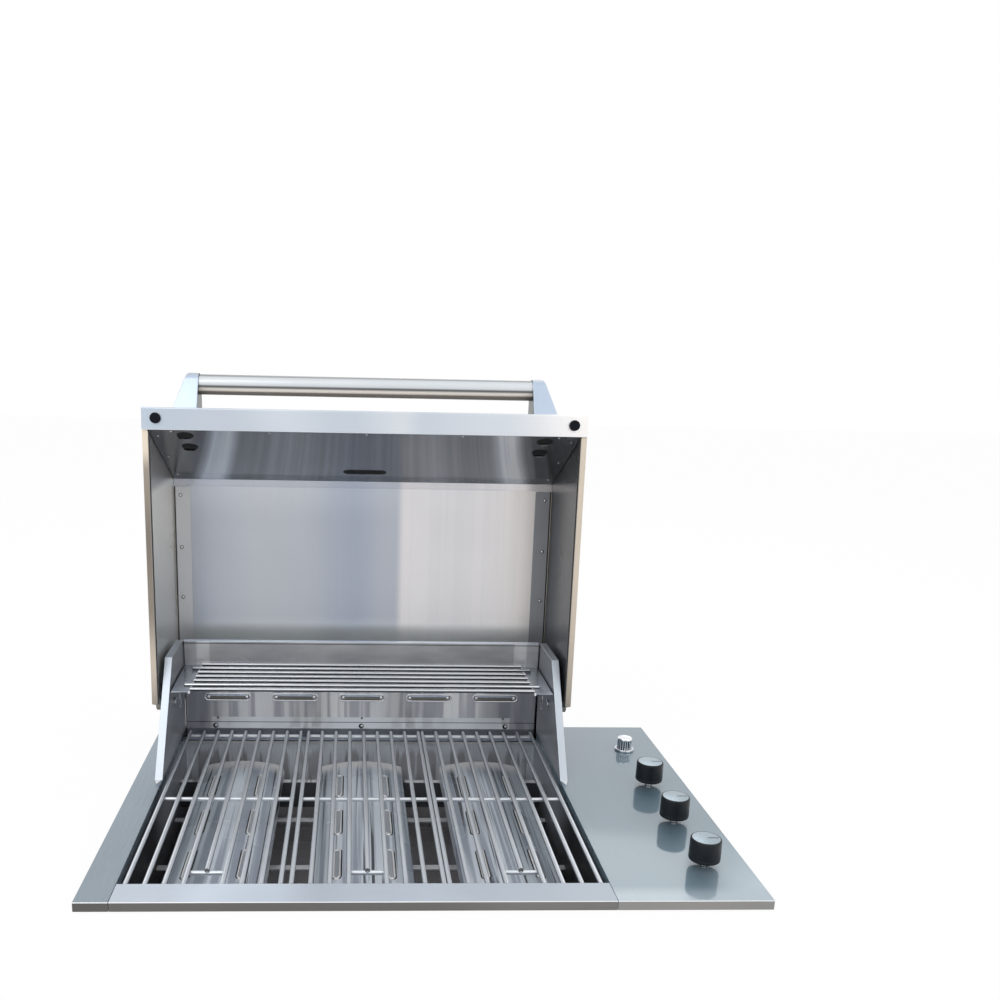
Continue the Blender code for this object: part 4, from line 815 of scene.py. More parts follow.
def wall_tone(tree):
    """Streaks of painted reflection low down, plain higher up with a painted gleam; painted light on the step
    and on faces that look up, and painted shade under the step.
    """
    height, off = place_on(tree, "Z"), place_on(tree, "X", True)
    lit = tone_bands(tree, place_on(tree, "X"), WALL_REFLECTION_SPANS)
    lit = times(tree, lit, span(tree, streaks(tree, (56.0, 0.0, 1.5)), 0.0, 1.0, 0.35, 1.25, False))
    plain = mix_tone(tree, lit, WALL_TONE, WALL_REFLECTION_TONE)
    upper = mix_tone(tree, streaks(tree, (9.0, 0.0, 30.0), 0.3, 0.7), WALL_TOP_TONE, WALL_REFLECTION_TONE)
    upper = mix_tone(tree, 0.80, upper, WALL_TOP_TONE)
    upper = mix_tone(tree, times(tree, band(tree, off, *WALL_GLEAM_X, 0.003), 0.35), upper, WALL_REFLECTION_TONE)
    tone = mix_tone(tree, span(tree, height, 0.285, 0.325), plain, upper)
    step = times(tree, band(tree, height, *STEP_BAND), span(tree, off, STEP_END_X, STEP_END_X - 0.003))
    tone = mix_tone(tree, step, tone, STEP_LIGHT_TONE)
    tone = mix_tone(tree, span(tree, height, STEP_BAND[0], STEP_BAND[0] - 0.0006), tone, WALL_FOOT_SHADE_TONE)
    lines = band(tree, height, *STEP_JOINT_Z)
    for joint in (band(tree, height, *HEM_JOINT_Z), span(tree, off, *WALL_JOINT_X),
                  span(tree, height, *WALL_JOINT_Z)):
        lines = maths(tree, "ADD", lines, joint)
    tone = mix_tone(tree, lines, tone, WALL_LINE_TONE)
    return mix_tone(tree, facing(tree, "Z", 0.35, 0.7), tone, WALL_UP_FACE_LIGHT_TONE)


def wing_tone(tree):
    """Mid grey plates with painted light low down and on faces that look up, and a painted highlight on their
    folded front faces.
    """
    tone = mix_tone(tree, reach(tree, "Z", 0.26, 0.225), WING_TONE, WING_LOW_LIGHT_TONE)
    tone = mix_tone(tree, facing(tree, "Z", 0.2, 0.5), tone, WING_TOP_LIGHT_TONE)
    edge = mix_tone(tree, reach(tree, "X", -0.1, 0.1), *WING_EDGE_HIGHLIGHT_TONES)
    return mix_tone(tree, facing(tree, "Y", -0.85, -0.95), tone, edge)


def screw_head(middle, out_way, radius, height=0.0011):
    """A low domed screw head standing on a surface, with no face under it."""
    side = out_way.orthogonal().normalized()
    over = out_way.cross(side)
    spots = []
    for share, up in SCREW_RINGS:
        spots += circle(middle + out_way * (height * up), side, over, radius * share, SCREW_SIDES)
    faces = ring_faces(len(SCREW_RINGS), SCREW_SIDES)
    faces.pop(-2)
    return spots, faces


def on_step(xs, z, radius, height=0.0011):
    """A row of round heads on the wall's step."""
    return [screw_head(Vector((x, WALL_Y, z)), Vector((0.0, -1.0, 0.0)), radius, height) for x in xs]


wall_steel = steel("rear_wall_steel", wall_tone, ALONG_Z, 0.24, 0.03, 0.05, metallic=0.55)
dress("rear_wall", wall_steel, 0.0006)
dress("left_wing right_wing", steel("wing_steel", wing_tone, ALONG_Z, 0.30, 0.04, 0.06, metallic=0.60),
      0.0005)
# Vent rims are painted bright as a highlight with a glint bead at each end; the plates behind the slots are
# dark sheets of painted shade.
rims, blades, plates = [], [], []
for k in range(-2, 3):
    def on_wall(a, b, out_to):
        return Vector((k * VENT_PITCH + a, WALL_Y - out_to, VENT_Z + b))
    ring = [on_wall(a, b, VENT_RIM_OUT) for a, b in oval(VENT_L, VENT_W, 10)]
    rims.append(tube(ring, VENT_LIP, 10, closed=True))
    rims += [bead(on_wall(way * (VENT_L / 2 - VENT_W / 2), 0.0, 0.0), VENT_END_GLINT_BEAD) for way in (-1.0, 1.0)]
    spots = []
    for i in range(VENT_BLADE_ROWS):
        t = -1.0 + 2.0 * i / (VENT_BLADE_ROWS - 1)
        bow = max(0.0, 1.0 - abs(t) ** 8) ** 0.5
        for j in range(VENT_BLADE_ARCS):
            turn = j / (VENT_BLADE_ARCS - 1) * VENT_BLADE_TURN
            out_to = VENT_BLADE * 0.7 * (1.0 - math.cos(turn)) * bow
            out_to -= VENT_BLADE_BACK + VENT_LIP * (1.0 - bow)
            up = (VENT_W / 2 - VENT_BLADE * math.sin(turn)) * bow
            spots.append(on_wall(t * (VENT_L / 2 - VENT_LIP), up, out_to))
    faces = []
    for i in range(VENT_BLADE_ROWS - 1):
        for a in range(i * VENT_BLADE_ARCS, (i + 1) * VENT_BLADE_ARCS - 1):
            faces.append((a, a + VENT_BLADE_ARCS, a + VENT_BLADE_ARCS + 1, a + 1))
    blades.append((spots, faces))
    back = [on_wall(a, b, -VENT_REACH) for a, b in oval(VENT_L + VENT_MARGIN, VENT_W + VENT_MARGIN, 10)]
    plates.append(flat(back, -1))
key_rims, key_slots, tabs = [], [], []
base_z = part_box("left_trim")[1].z
for way in (-1.0, 1.0):
    face_x = way * WING_FACE_X
    ring = [Vector((face_x, KEY_AT[0] + b, KEY_AT[1] + a)) for a, b in oval(KEY_L, KEY_W, 10)]
    key_rims.append(tube(ring, KEY_RIM_R, 8, closed=True))
    # A bright bead under each keyhole carries a painted glint.
    key_rims.append(bead(Vector((face_x, KEY_AT[0], KEY_AT[1] - KEY_L / 2 - KEY_GLINT_DROP)), KEY_GLINT_BEAD))
    key_slots.append(flat([Vector((spot.x - way * KEY_SHADE_BACK, spot.y, spot.z)) for spot in ring]))
    outline = ((WING_TAB_X[0], WING_FRONT_Y), (WING_TAB_X[1], WING_FRONT_Y),
               ((WING_TAB_X[0] + WING_TAB_X[1]) / 2, WING_FRONT_Y - WING_TAB_L))
    spots = [Vector((way * x, y, base_z + up)) for up in (0.0, WING_TAB_H) for x, y in outline]
    sides = [(2, 1, 0), (3, 4, 5), (1, 4, 3, 0), (2, 5, 4, 1), (0, 3, 5, 2)]
    tabs.append((spots, [face[::int(-way)] for face in sides]))
bolt_steel = plain_paint("bolt_steel", BOLT_TONE, 0.25, 1.0, 0.10, 300.0)
# The near-black slot finish is painted shade: under the step screws, inside the keyholes and behind the
# liner's holes.
slot_shade = plain_paint("slot_shade", SLOT_SHADE_TONE, 0.8)
mark_dark = plain_paint("mark_dark", MARK_DARK_TONE, 0.6)
rim_steel = steel("vent_rim_steel", VENT_RIM_HIGHLIGHT_TONE, ALONG_X, 0.20, 0.03, metallic=0.6)
plate_steel = steel("vent_shade_plate_steel", VENT_BACK_SHADE_TONE, ALONG_X, 0.3, 0.1)
tab_steel = steel("wing_tab_steel", WING_TAB_TONE, ALONG_X, 0.35, metallic=0.3)
# A dark ring under each step screw, shifted to one side, is a painted shadow.
heads = on_step(STEP_SCREWS, STEP_SCREW_Z, STEP_SCREW_R)
rings = on_step([x - STEP_SHADOW_SHIFT for x in STEP_SCREWS], STEP_SCREW_Z, STEP_SHADOW_R, STEP_SHADOW_H)
marks = on_step(STEP_MARKS, STEP_MARK_Z, STEP_MARK_R, STEP_MARK_H)
for name, shapes, material, smooth, finish in (
        ("vent_rims", rims, rim_steel, 60, "bright_steel"),
        ("vent_blades", blades, wall_steel, 60, "satin_steel"),
        ("vent_shade_plates", plates, plate_steel, 60, "dark_steel"),
        ("step_screws", heads, bolt_steel, 40, "bright_steel"),
        ("step_screw_shadows", rings, slot_shade, 40, "dark_steel"),
        ("step_marks", marks, mark_dark, 40, "dark_steel"),
        ("keyhole_rims", key_rims, bolt_steel, 40, "bright_steel"),
        ("keyhole_shades", key_slots, slot_shade, 40, "dark_steel"),
        ("wing_tabs", tabs, tab_steel, 40, "bright_steel")):
    piece = gather(name, shapes, material, smooth)
    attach(piece, "grill_body")

# ---- Warming rack and its ledges ----
# Seven round bars are welded across two end plates that rest on ledges folded
# from strip, screwed to the wings.
# Rack tones paint light: bars lit on top and shaded underneath, and a highlight on the plates' inner lip.
RACK_LIT_TONE = (0.74, 0.77, 0.81)
RACK_UNDER_SHADE_TONE = (0.06, 0.063, 0.070)
RACK_PLATE_TONE = (0.50, 0.54, 0.60)
RACK_LINE_TONE = (0.015, 0.016, 0.018)
RACK_LINE_X = 0.3042
RACK_LIP_X = 0.2768
RACK_PLATE_X = (0.2748, 0.3058)
RACK_PLATE_Y = (0.1276, 0.2694)
RACK_PLATE_Z = (0.3277, 0.3293)
RACK_BARS = 7
RACK_LONG_BARS = (1, 5)
RACK_BAR_Z = 0.3315
RACK_BAR_START = 0.1327
RACK_BAR_PITCH = 0.0222
RACK_BAR_LONG = 0.2856
RACK_BAR_SHORT = 0.2754
RACK_LIP_HIGHLIGHT_TONE = (0.93, 0.95, 0.98)
RACK_BEAD_X = 0.2762
RACK_BEAD = Vector((0.0020, BAR_R * 1.1, 0.0012))
RACK_TAB = Vector((0.002, 0.002, 0.002))
RACK_TAB_IN = 0.0012


def slab(low, high, edge=0.0004):
    """A flat block with eased edges, given by two corners."""
    work = bmesh.new()
    bmesh.ops.create_cube(work, size=1.0)
    stretched(work, high - low, (high + low) / 2)
    bmesh.ops.bevel(work, geom=list(work.edges), offset=edge, segments=2, profile=0.5, affect="EDGES")
    return taken(work)


def rack_tone(tree):
    """Bars lit on top over painted shade underneath; plates with a painted highlight on the inner lip and a
    dark joint.
    """
    bars = mix_tone(tree, facing(tree, "Z", -0.2, 0.6), RACK_UNDER_SHADE_TONE, RACK_LIT_TONE)
    off = place_on(tree, "X", True)
    lip = span(tree, off, RACK_LIP_X + 0.0004, RACK_LIP_X)
    joint = span(tree, off, RACK_LINE_X, RACK_LINE_X + 0.0003)
    sheet = mix_tone(tree, joint, mix_tone(tree, lip, RACK_PLATE_TONE, RACK_LIP_HIGHLIGHT_TONE), RACK_LINE_TONE)
    plate = times(tree, span(tree, off, RACK_PLATE_X[0] - 0.0003, RACK_PLATE_X[0] - 0.0001),
                  reach(tree, "Z", RACK_PLATE_Z[1] + 0.0003, RACK_PLATE_Z[1] + 0.0001))
    return mix_tone(tree, plate, bars, sheet)


shapes = []
for way in (-1.0, 1.0):
    xs = sorted(way * x for x in RACK_PLATE_X)
    shapes.append(slab(*[Vector(corner) for corner in zip(xs, RACK_PLATE_Y, RACK_PLATE_Z)]))
for k in range(RACK_BARS):
    y = RACK_BAR_START + k * RACK_BAR_PITCH
    domed = k in RACK_LONG_BARS
    ends_x = RACK_BAR_LONG if domed else RACK_BAR_SHORT
    shapes.append(tube([Vector((x, y, RACK_BAR_Z)) for x in (-ends_x, 0.0, ends_x)], BAR_R, 14, domed=domed))
    shapes += [bead(Vector((way * RACK_BEAD_X, y, RACK_PLATE_Z[1])), RACK_BEAD) for way in (-1.0, 1.0)]
for way in (-1.0, 1.0):
    tab_at = Vector((way * RACK_LIP_X, RACK_PLATE_Y[0] + RACK_TAB_IN, RACK_PLATE_Z[0] - RACK_TAB_IN))
    shapes.append(bead(tab_at, RACK_TAB))
rack_steel = steel("rack_steel", rack_tone, (60.0, 900.0, 900.0), 0.24, 0.04, metallic=0.7)
rack = gather("warming_rack_bars", shapes, rack_steel, 40)
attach(rack, "warming_rack")
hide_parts("warming_rack")
dress("rack_ledge_left rack_ledge_right", steel("ledge_steel", WING_TONE, ALONG_Y, 0.26),
      0.0004)

# ---- Gas gear under the panel ----
# A sheet box hangs under the panel round the valves. A manifold pipe feeds
# three brass valves, whose pipes run to the burners.
BOX_TONE = (0.42, 0.43, 0.45)
MANIFOLD_TONE = (0.035, 0.035, 0.037)
BRASS_TONE = (0.55, 0.38, 0.15)
PIPE_TONE = (0.45, 0.46, 0.48)

dress("control_box", steel("box_steel", BOX_TONE, ALONG_X, 0.38), 0.0004)
dress("gas_manifold", plain_paint("manifold_paint", MANIFOLD_TONE, 0.45, 0.4))
dress("valve_body_1 valve_body_2 valve_body_3",
      plain_paint("valve_brass", BRASS_TONE, 0.32, 1.0, 0.15, 140.0), 0.0005)
dress("feed_pipe_1 feed_pipe_2 feed_pipe_3", steel("pipe_steel", PIPE_TONE, ALONG_X, 0.3))

# ---- Knobs and valve stems ----
# Turned black plastic knobs with a thin silver cap let into the top. A dark
# line on the cap points to the setting; a chrome stem carries each knob.
KNOB_TONE = (0.0036, 0.0058, 0.0090)
CAP_TONE = (0.36, 0.43, 0.48)
POINTER_TONE = (0.03, 0.035, 0.04)
STEM_TONE = (0.62, 0.65, 0.68)
KNOB_X = 0.4417
KNOB_ROWS = (-0.2264, -0.098, 0.029)
KNOB_PROFILE = ((0.0080, 0.2237), (0.0165, 0.2237), (0.0188, 0.2240), (0.0198, 0.2247), (0.0203, 0.2262),
                (0.0203, 0.2283), (0.0201, 0.2288), (0.0201, 0.2292), (0.0203, 0.2297), (0.0200, 0.2505),
                (0.0199, 0.2525), (0.0196, 0.2536), (0.0190, 0.2543), (0.0184, 0.2543), (0.0182, 0.2538),
                (0.0060, 0.2537))
CAP_PROFILE = ((0.0060, 0.2537), (0.0180, 0.2537), (0.0181, 0.2540), (0.0179, 0.2544), (0.0174, 0.2545),
               (0.0008, 0.2545))
POINTER_AT = 0.0015
POINTER_L = 0.0150
POINTER_W = 0.0013
POINTER_Z = (0.25445, 0.2547)


def lathe(profile, middle, sides):
    """A turned shape about a vertical line from (radius, height) pairs."""
    along, across = Vector((1.0, 0.0, 0.0)), Vector((0.0, 1.0, 0.0))
    spots = []
    for radius, height in profile:
        spots += circle(middle + Vector((0.0, 0.0, height)), along, across, radius, sides)
    return spots, ring_faces(len(profile), sides)


knob_black = plain_paint("knob_black", KNOB_TONE, 0.42, 0.0, 0.2, 200.0, {"Specular IOR Level": 0.35})
cap_silver = steel("cap_silver", CAP_TONE, (500.0, 500.0, 500.0), 0.26, 0.05)
pointer_black = plain_paint("pointer_black", POINTER_TONE, 0.4)
stem_chrome = steel("stem_chrome", STEM_TONE, (300.0, 300.0, 300.0), 0.12, 0.02)
for number, y in enumerate(KNOB_ROWS, 1):
    at = Vector((KNOB_X, y, 0.0))
    knob = gather("knob_grip_%d" % number, [lathe(KNOB_PROFILE, at, 64)], knob_black, 50)
    cap = gather("knob_face_%d" % number, [lathe(CAP_PROFILE, at, 64)], cap_silver, 50)
    mark_low = at + Vector((POINTER_AT, -POINTER_W / 2, POINTER_Z[0]))
    mark_high = at + Vector((POINTER_AT + POINTER_L, POINTER_W / 2, POINTER_Z[1]))
    mark = gather("knob_pointer_%d" % number, [slab(mark_low, mark_high, 0.0001)], pointer_black, 50)
    for piece, node_name, finish in ((knob, "knob_%d" % number, "black_plastic"),
                                     (cap, "knob_cap_%d" % number, "silver_cap")):
        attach(piece, "knob_%d" % number)
        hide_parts(node_name)
    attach(mark, "knob_%d" % number)
dress("valve_stem_1 valve_stem_2 valve_stem_3", stem_chrome)

# ---- Igniter button ----
# A chrome push button, straight and finely fluted under a smooth shoulder. It
# slides in a turned collar that stands on the panel behind the knobs.
IGNITER_AT = Vector((0.4417, 0.1736, 0.0))
BUTTON_PROFILE = ((0.0118, 0.2114), (0.0118, 0.2196), (0.0118, 0.2230), (0.0118, 0.2290), (0.0118, 0.2335),
                  (0.0120, 0.2340), (0.0120, 0.2358), (0.0117, 0.2368), (0.0110, 0.2374), (0.0100, 0.2375),
                  (0.0096, 0.2371), (0.0040, 0.2370))
FLUTES = 18
FLUTE_DEPTH = 0.0012
FLUTED_Z = (0.2190, 0.2337)
FLUTE_SHADE_R = (0.0116, 0.0109)
CHROME_TONE = (0.86, 0.88, 0.92)
# The dark tone in the flute valleys is painted shade.
FLUTE_SHADE_TONE = (0.07, 0.075, 0.085)


def chrome_tone(tree):
    """Bright chrome with painted shade in its flutes up to the shoulder."""
    where = node(tree, "TexCoord").outputs["Object"]
    off = node(tree, "VectorMath", {0: where, 1: IGNITER_AT}, operation="SUBTRACT").outputs[0]
    wide = node(tree, "VectorMath", {0: scaled(tree, off, (1.0, 1.0, 0.0))}, operation="LENGTH")
    inner = span(tree, wide.outputs["Value"], *FLUTE_SHADE_R)
    valley = times(tree, inner, band(tree, place_on(tree, "Z"), *FLUTED_Z))
    return mix_tone(tree, valley, CHROME_TONE, FLUTE_SHADE_TONE)


chrome = steel("igniter_chrome", chrome_tone, (200.0, 200.0, 200.0), 0.08, 0.01, 0.05)
points, faces = lathe(BUTTON_PROFILE, IGNITER_AT, FLUTES * 6)
for spot in points:
    if FLUTED_Z[0] < spot.z < FLUTED_Z[1]:
        around = spot - IGNITER_AT
        turn = math.atan2(around.y, around.x)
        shrink = FLUTE_DEPTH * (0.5 - 0.5 * math.cos(turn * FLUTES)) / math.hypot(around.x, around.y)
        spot.x -= around.x * shrink
        spot.y -= around.y * shrink
button = gather("igniter_cap", [(points, faces)], chrome, 45)
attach(button, "igniter_button")
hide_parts("igniter_button")
dress("igniter_collar", stem_chrome, 0.0005, 3)

# ---- Hood: skin, side panels, liner and pins ----
# A folded skin makes the hood's top, front and lip. Two riveted side panels and a
# bright liner close it; it swings on two headed pins through the wings.
HOOD_OUT_TONE = (0.36, 0.385, 0.41)
HOOD_OUT_PALE_TONE = (0.50, 0.52, 0.54)
HOOD_FACE_TONES = ((0.50, 0.47, 0.46), (0.33, 0.335, 0.34))
# The bands inside the hood are painted reflections of the room, with painted light added higher up and low
# down.
HOOD_BLUE_REFLECTION_TONE = (0.375, 0.414, 0.512)
HOOD_PALE_REFLECTION_TONE = (0.505, 0.530, 0.571)
HOOD_WARM_REFLECTION_TONE = (0.92, 0.875, 0.855)
HOOD_LOW_LIGHT_TONE = (0.95, 1.00, 1.00)
HOOD_COOL_REFLECTION_SPANS = ((-0.3265, 0.55), (-0.283, 0.50), (-0.177, 0.95), (-0.11, 0.85), (-0.018, 0.10),
                   (0.04, 0.60), (0.3265, 0.60))
HOOD_WARM_REFLECTION_SPANS = ((-0.3265, 0.00), (0.055, 0.00), (0.072, 0.65), (0.10, 0.62), (0.15, 0.56), (0.22, 0.66),
                   (0.285, 1.00), (0.3265, 1.00))
HOOD_HIGH_LIGHT_SHARE = (1.20, 1.20, 1.18)
# The lip's tones are painted reflections, with painted highlights on its folds.
LIP_COOL_REFLECTION_TONE = (0.53, 0.60, 0.69)
LIP_WARM_REFLECTION_TONE = (0.93, 0.91, 0.90)
LIP_FOLD_HIGHLIGHT_TONE = (0.92, 0.94, 0.97)
LIP_FOLDS_Z = (0.7366, 0.7672)
LIP_REFLECTION_SPANS = ((-0.3345, 0.00), (-0.22, 0.12), (-0.12, 0.25), (-0.03, 0.12), (0.055, 0.40), (0.085, 0.20),
             (0.20, 0.34), (0.3345, 1.00))
SIDE_TONE = (0.33, 0.335, 0.33)
# Side tones are painted light and shade, in left and right pairs: lit at the left, shaded at the right, with
# painted reflections on the strips.
SIDE_INNER_LIGHT_TONES = ((0.90, 0.87, 0.79), (0.070, 0.074, 0.078))
SIDE_LOW_LIGHT_TONES = ((0.56, 0.57, 0.56), (0.095, 0.102, 0.114))
SIDE_SHADE_TONES = ((0.42, 0.40, 0.39), (0.066, 0.068, 0.071))
SIDE_FLANGE_LIGHT_TONES = ((0.60, 0.61, 0.64), (0.33, 0.34, 0.365))
SIDE_STRIP_REFLECTION_SPANS = (((0.28, 0.27), (0.37, 0.62), (0.47, 0.28), (0.57, 0.23), (0.67, 0.33), (0.71, 0.80),
                     (0.74, 0.83)),
                    ((0.28, 0.40), (0.37, 0.52), (0.47, 0.60), (0.57, 0.65), (0.67, 0.67), (0.74, 0.68)))
SIDE_STRIP_REFLECTION_TINT = (1.02, 0.89, 0.74)
SIDE_SEAM_X = 0.3255
SIDE_SEAM_TONE = (0.03, 0.03, 0.03)
LINER_TONE = (0.92, 0.95, 1.00)
# The liner's bright bands are painted reflections.
LINER_REFLECTION_SPANS = ((-0.326, 0.22), (-0.243, 0.24), (-0.222, 1.00), (-0.203, 1.00), (-0.188, 0.40), (-0.168, 0.34),
               (-0.13, 0.44), (-0.06, 0.42), (0.0, 0.35), (0.05, 0.36), (0.10, 0.42), (0.16, 0.30),
               (0.185, 0.38), (0.205, 1.00), (0.222, 1.00), (0.240, 0.24), (0.326, 0.18))
LINER_FAN = ((0.14, 0.345), (1.0, 0.82))
LINER_RIM_SHARE = (0.84, 0.84, 0.86)
LINER_EDGE_X = 0.3243
LINER_AT = Vector((0.0, 0.1397, 0.7343))
LINER_RUN = Vector((0.0, 0.90583, -0.42363))
LINER_IN = Vector((0.0, -0.42363, -0.90583))
LINER_SHADE_BACK = 0.0006
LINER_SCREW_X = 0.3145
LINER_SCREW_ROWS = (0.023, 0.115, 0.201)
LINER_SCREW_SIZE = (0.0019, 0.0008)
LINER_LIP_SCREWS_X = (-0.2915, -0.1455, 0.0, 0.1455, 0.2915)
LINER_LIP_SCREW_ROW = 0.003
LINER_LIP_SCREW_SIZE = (0.0017, 0.0010)
LINER_HOLES = ((-0.2735, 0.0215, 0.025, 0.025), (-0.2735, 0.069, 0.025, 0.025),
               (0.2735, 0.0215, 0.025, 0.025), (0.2745, 0.069, 0.025, 0.025), (0.0, 0.1785, 0.072, 0.020))
TOP_RUN = Vector((0.0, -0.01865, -0.42568)).normalized()
TOP_IN = Vector((0.0, -1.0, 0.04)).normalized()
TOP_START_Z = 0.6716
RIVET_SINK = 0.0028
RIVET_X = 0.315
RIVET_ROWS = (0.061, 0.151, 0.239)
RIVET_R = 0.0023
RIVET_RING_R = 0.0034
RIVET_RING_H = 0.0002


def hood_inner(tree):
    """Soft upright bands of painted reflection inside the top, bluish left and warm at the right, with
    painted light higher up and low down.
    """
    across = place_on(tree, "X")
    cool = mix_tone(tree, tone_bands(tree, across, HOOD_COOL_REFLECTION_SPANS), HOOD_BLUE_REFLECTION_TONE, HOOD_PALE_REFLECTION_TONE)
    cool = mix_tone(tree, reach(tree, "Z", 0.56, 0.64), cool, scaled(tree, cool, HOOD_HIGH_LIGHT_SHARE))
    inner = mix_tone(tree, tone_bands(tree, across, HOOD_WARM_REFLECTION_SPANS), cool, HOOD_WARM_REFLECTION_TONE)
    faint = span(tree, streaks(tree, (70.0, 0.0, 0.8)), 0.0, 1.0, 0.0, 0.10)
    inner = mix_tone(tree, faint, inner, HOOD_PALE_REFLECTION_TONE)
    return mix_tone(tree, reach(tree, "Z", 0.405, 0.335), inner, HOOD_LOW_LIGHT_TONE)


def hood_tone(tree):
    """Painted reflections inside, plain steel outside, and a lip of painted reflection between painted
    highlights on its folds.
    """
    inner = hood_inner(tree)
    faint = span(tree, streaks(tree, (7.0, 0.0, 0.5), 0.35, 0.65), 0.0, 1.0, 0.0, 0.45)
    top = mix_tone(tree, faint, HOOD_OUT_TONE, HOOD_OUT_PALE_TONE)
    front = mix_tone(tree, reach(tree, "Y", 0.16, 0.33), *HOOD_FACE_TONES)
    outer = mix_tone(tree, facing(tree, "Y", 0.2, 0.8), inner, top)
    outer = mix_tone(tree, facing(tree, "Z", 0.3, 0.8), outer, front)
    height = place_on(tree, "Z")
    lip = mix_tone(tree, tone_bands(tree, place_on(tree, "X"), LIP_REFLECTION_SPANS), LIP_COOL_REFLECTION_TONE, LIP_WARM_REFLECTION_TONE)
    lip = mix_tone(tree, band(tree, height, *LIP_FOLDS_Z, 0.0012), LIP_FOLD_HIGHLIGHT_TONE, lip)
    lip = mix_tone(tree, span(tree, height, 0.7330, 0.7350), inner, lip)
    return mix_tone(tree, facing(tree, "Y", -0.2, 0.1), lip, outer)


def side_tone(tree):
    """Steel whose inner faces, rear flanges and front strips carry painted light and shade, lit at the left
    and shaded at the right, and painted reflections of the room.
    """
    right = reach(tree, "X", -0.1, 0.1)
    height, off = place_on(tree, "Z"), place_on(tree, "X", True)

    def pair(tones):
        return mix_tone(tree, right, tones[0], tones[1])
    inner = mix_tone(tree, span(tree, height, 0.62, 0.40), pair(SIDE_INNER_LIGHT_TONES), pair(SIDE_LOW_LIGHT_TONES))
    inner = mix_tone(tree, span(tree, height, 0.635, 0.650), inner, pair(SIDE_SHADE_TONES))
    tone = mix_tone(tree, span(tree, outward_x(tree), -0.10, -0.20), SIDE_TONE, inner)
    strip = pair([tone_bands(tree, height, stops) for stops in SIDE_STRIP_REFLECTION_SPANS])
    strip = scaled(tree, strip, SIDE_STRIP_REFLECTION_TINT)
    front = mix_tone(tree, span(tree, off, SIDE_SEAM_X, SIDE_SEAM_X + 0.0008), pair(SIDE_FLANGE_LIGHT_TONES), strip)
    front = mix_tone(tree, band(tree, off, 0.3236, SIDE_SEAM_X), front, SIDE_SEAM_TONE)
    return mix_tone(tree, facing(tree, "Y", -0.45, -0.8), tone, front)


def liner_tone(tree):
    """A bright band of painted reflection by each side, fine upright streaks and dark end joints; its rim
    takes the top's painted reflections.
    """
    spread = span(tree, place_on(tree, "Y"), *LINER_FAN[0], *LINER_FAN[1], False)
    across = times(tree, place_on(tree, "X"), spread)
    tone = scaled(tree, tone_bands(tree, across, LINER_REFLECTION_SPANS), LINER_TONE)
    spot = node(tree, "CombineXYZ", {"X": across}).outputs[0]
    fine = span(tree, streaks(tree, (85.0, 0.0, 0.0), 0.35, 0.65, spot), 0.0, 1.0, 0.86, 1.16, False)
    edge = span(tree, place_on(tree, "X", True), LINER_EDGE_X, LINER_EDGE_X + 0.0004)
    tone = mix_tone(tree, edge, scaled(tree, tone, fine), SIDE_SEAM_TONE)
    rim = scaled(tree, hood_inner(tree), LINER_RIM_SHARE)
    return mix_tone(tree, facing(tree, "Y", -0.6, -0.9), tone, rim)


def on_liner(across, along, out_to=0.0):
    """A spot on the liner: across the hood, and along from its lip."""
    return Vector((across, 0.0, 0.0)) + LINER_AT + LINER_RUN * along + LINER_IN * out_to


dress("lid_skin", steel("hood_skin_steel", hood_tone, ALONG_Z, 0.30, 0.02, 0.02, metallic=0.80),
      0.0007)
dress("lid_side_left lid_side_right",
      steel("hood_side_steel", side_tone, ALONG_Z, 0.28, 0.02, 0.03, metallic=0.50), 0.0006)
dress("lid_liner", steel("hood_liner_steel", liner_tone, ALONG_X, 0.16, 0.02, 0.03, metallic=0.75),
      0.0005)
dress("hinge_pin_left hinge_pin_right", stem_chrome, 0.0006, 3)
heads, rings, backs = [], [], []
top_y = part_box("lid_skin")[1].y - RIVET_SINK
for along in RIVET_ROWS:
    for way in (-1.0, 1.0):
        spot = Vector((way * RIVET_X, top_y, TOP_START_Z)) + TOP_RUN * along
        heads.append(screw_head(spot, TOP_IN, RIVET_R))
        rings.append(screw_head(spot, TOP_IN, RIVET_RING_R, RIVET_RING_H))
for way in (-1.0, 1.0):
    for along in LINER_SCREW_ROWS:
        heads.append(screw_head(on_liner(way * LINER_SCREW_X, along), LINER_IN, *LINER_SCREW_SIZE))
for x in LINER_LIP_SCREWS_X:
    heads.append(screw_head(on_liner(x, LINER_LIP_SCREW_ROW), LINER_IN, *LINER_LIP_SCREW_SIZE))
# Dark plates behind the liner's holes are painted shade.
for x, along, length, width in LINER_HOLES:
    backs.append(flat([on_liner(x + a, along + b, -LINER_SHADE_BACK) for a, b in oval(length, width, 10)], -1))
for name, shapes, material, finish in (("hood_rivets", heads, bolt_steel, "bright_steel"),
                                       ("hood_rivet_rings", rings, mark_dark, "dark_steel"),
                                       ("liner_hole_shades", backs, slot_shade, "dark_steel")):
    piece = gather(name, shapes, material)
    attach(piece, "hood")

# ---- Handle ----
# A satin tube spans two tapered brackets that are folded from plate and
# bolted through the hood's front near its lip.
# The handle's bands and warm underside are painted reflections.
HANDLE_REFLECTION_BANDS = ((-1.0, 0.15), (-0.65, 0.22), (-0.50, 1.00), (-0.36, 1.00), (-0.24, 0.45), (-0.16, 0.11),
                (-0.06, 0.16), (0.08, 0.62), (0.20, 0.68), (0.60, 0.72), (0.78, 0.66), (0.90, 0.26),
                (1.0, 0.18))
HANDLE_TINT = (0.95, 1.0, 1.05)
HANDLE_WARM_REFLECTION_TINT = (1.06, 0.99, 0.92)
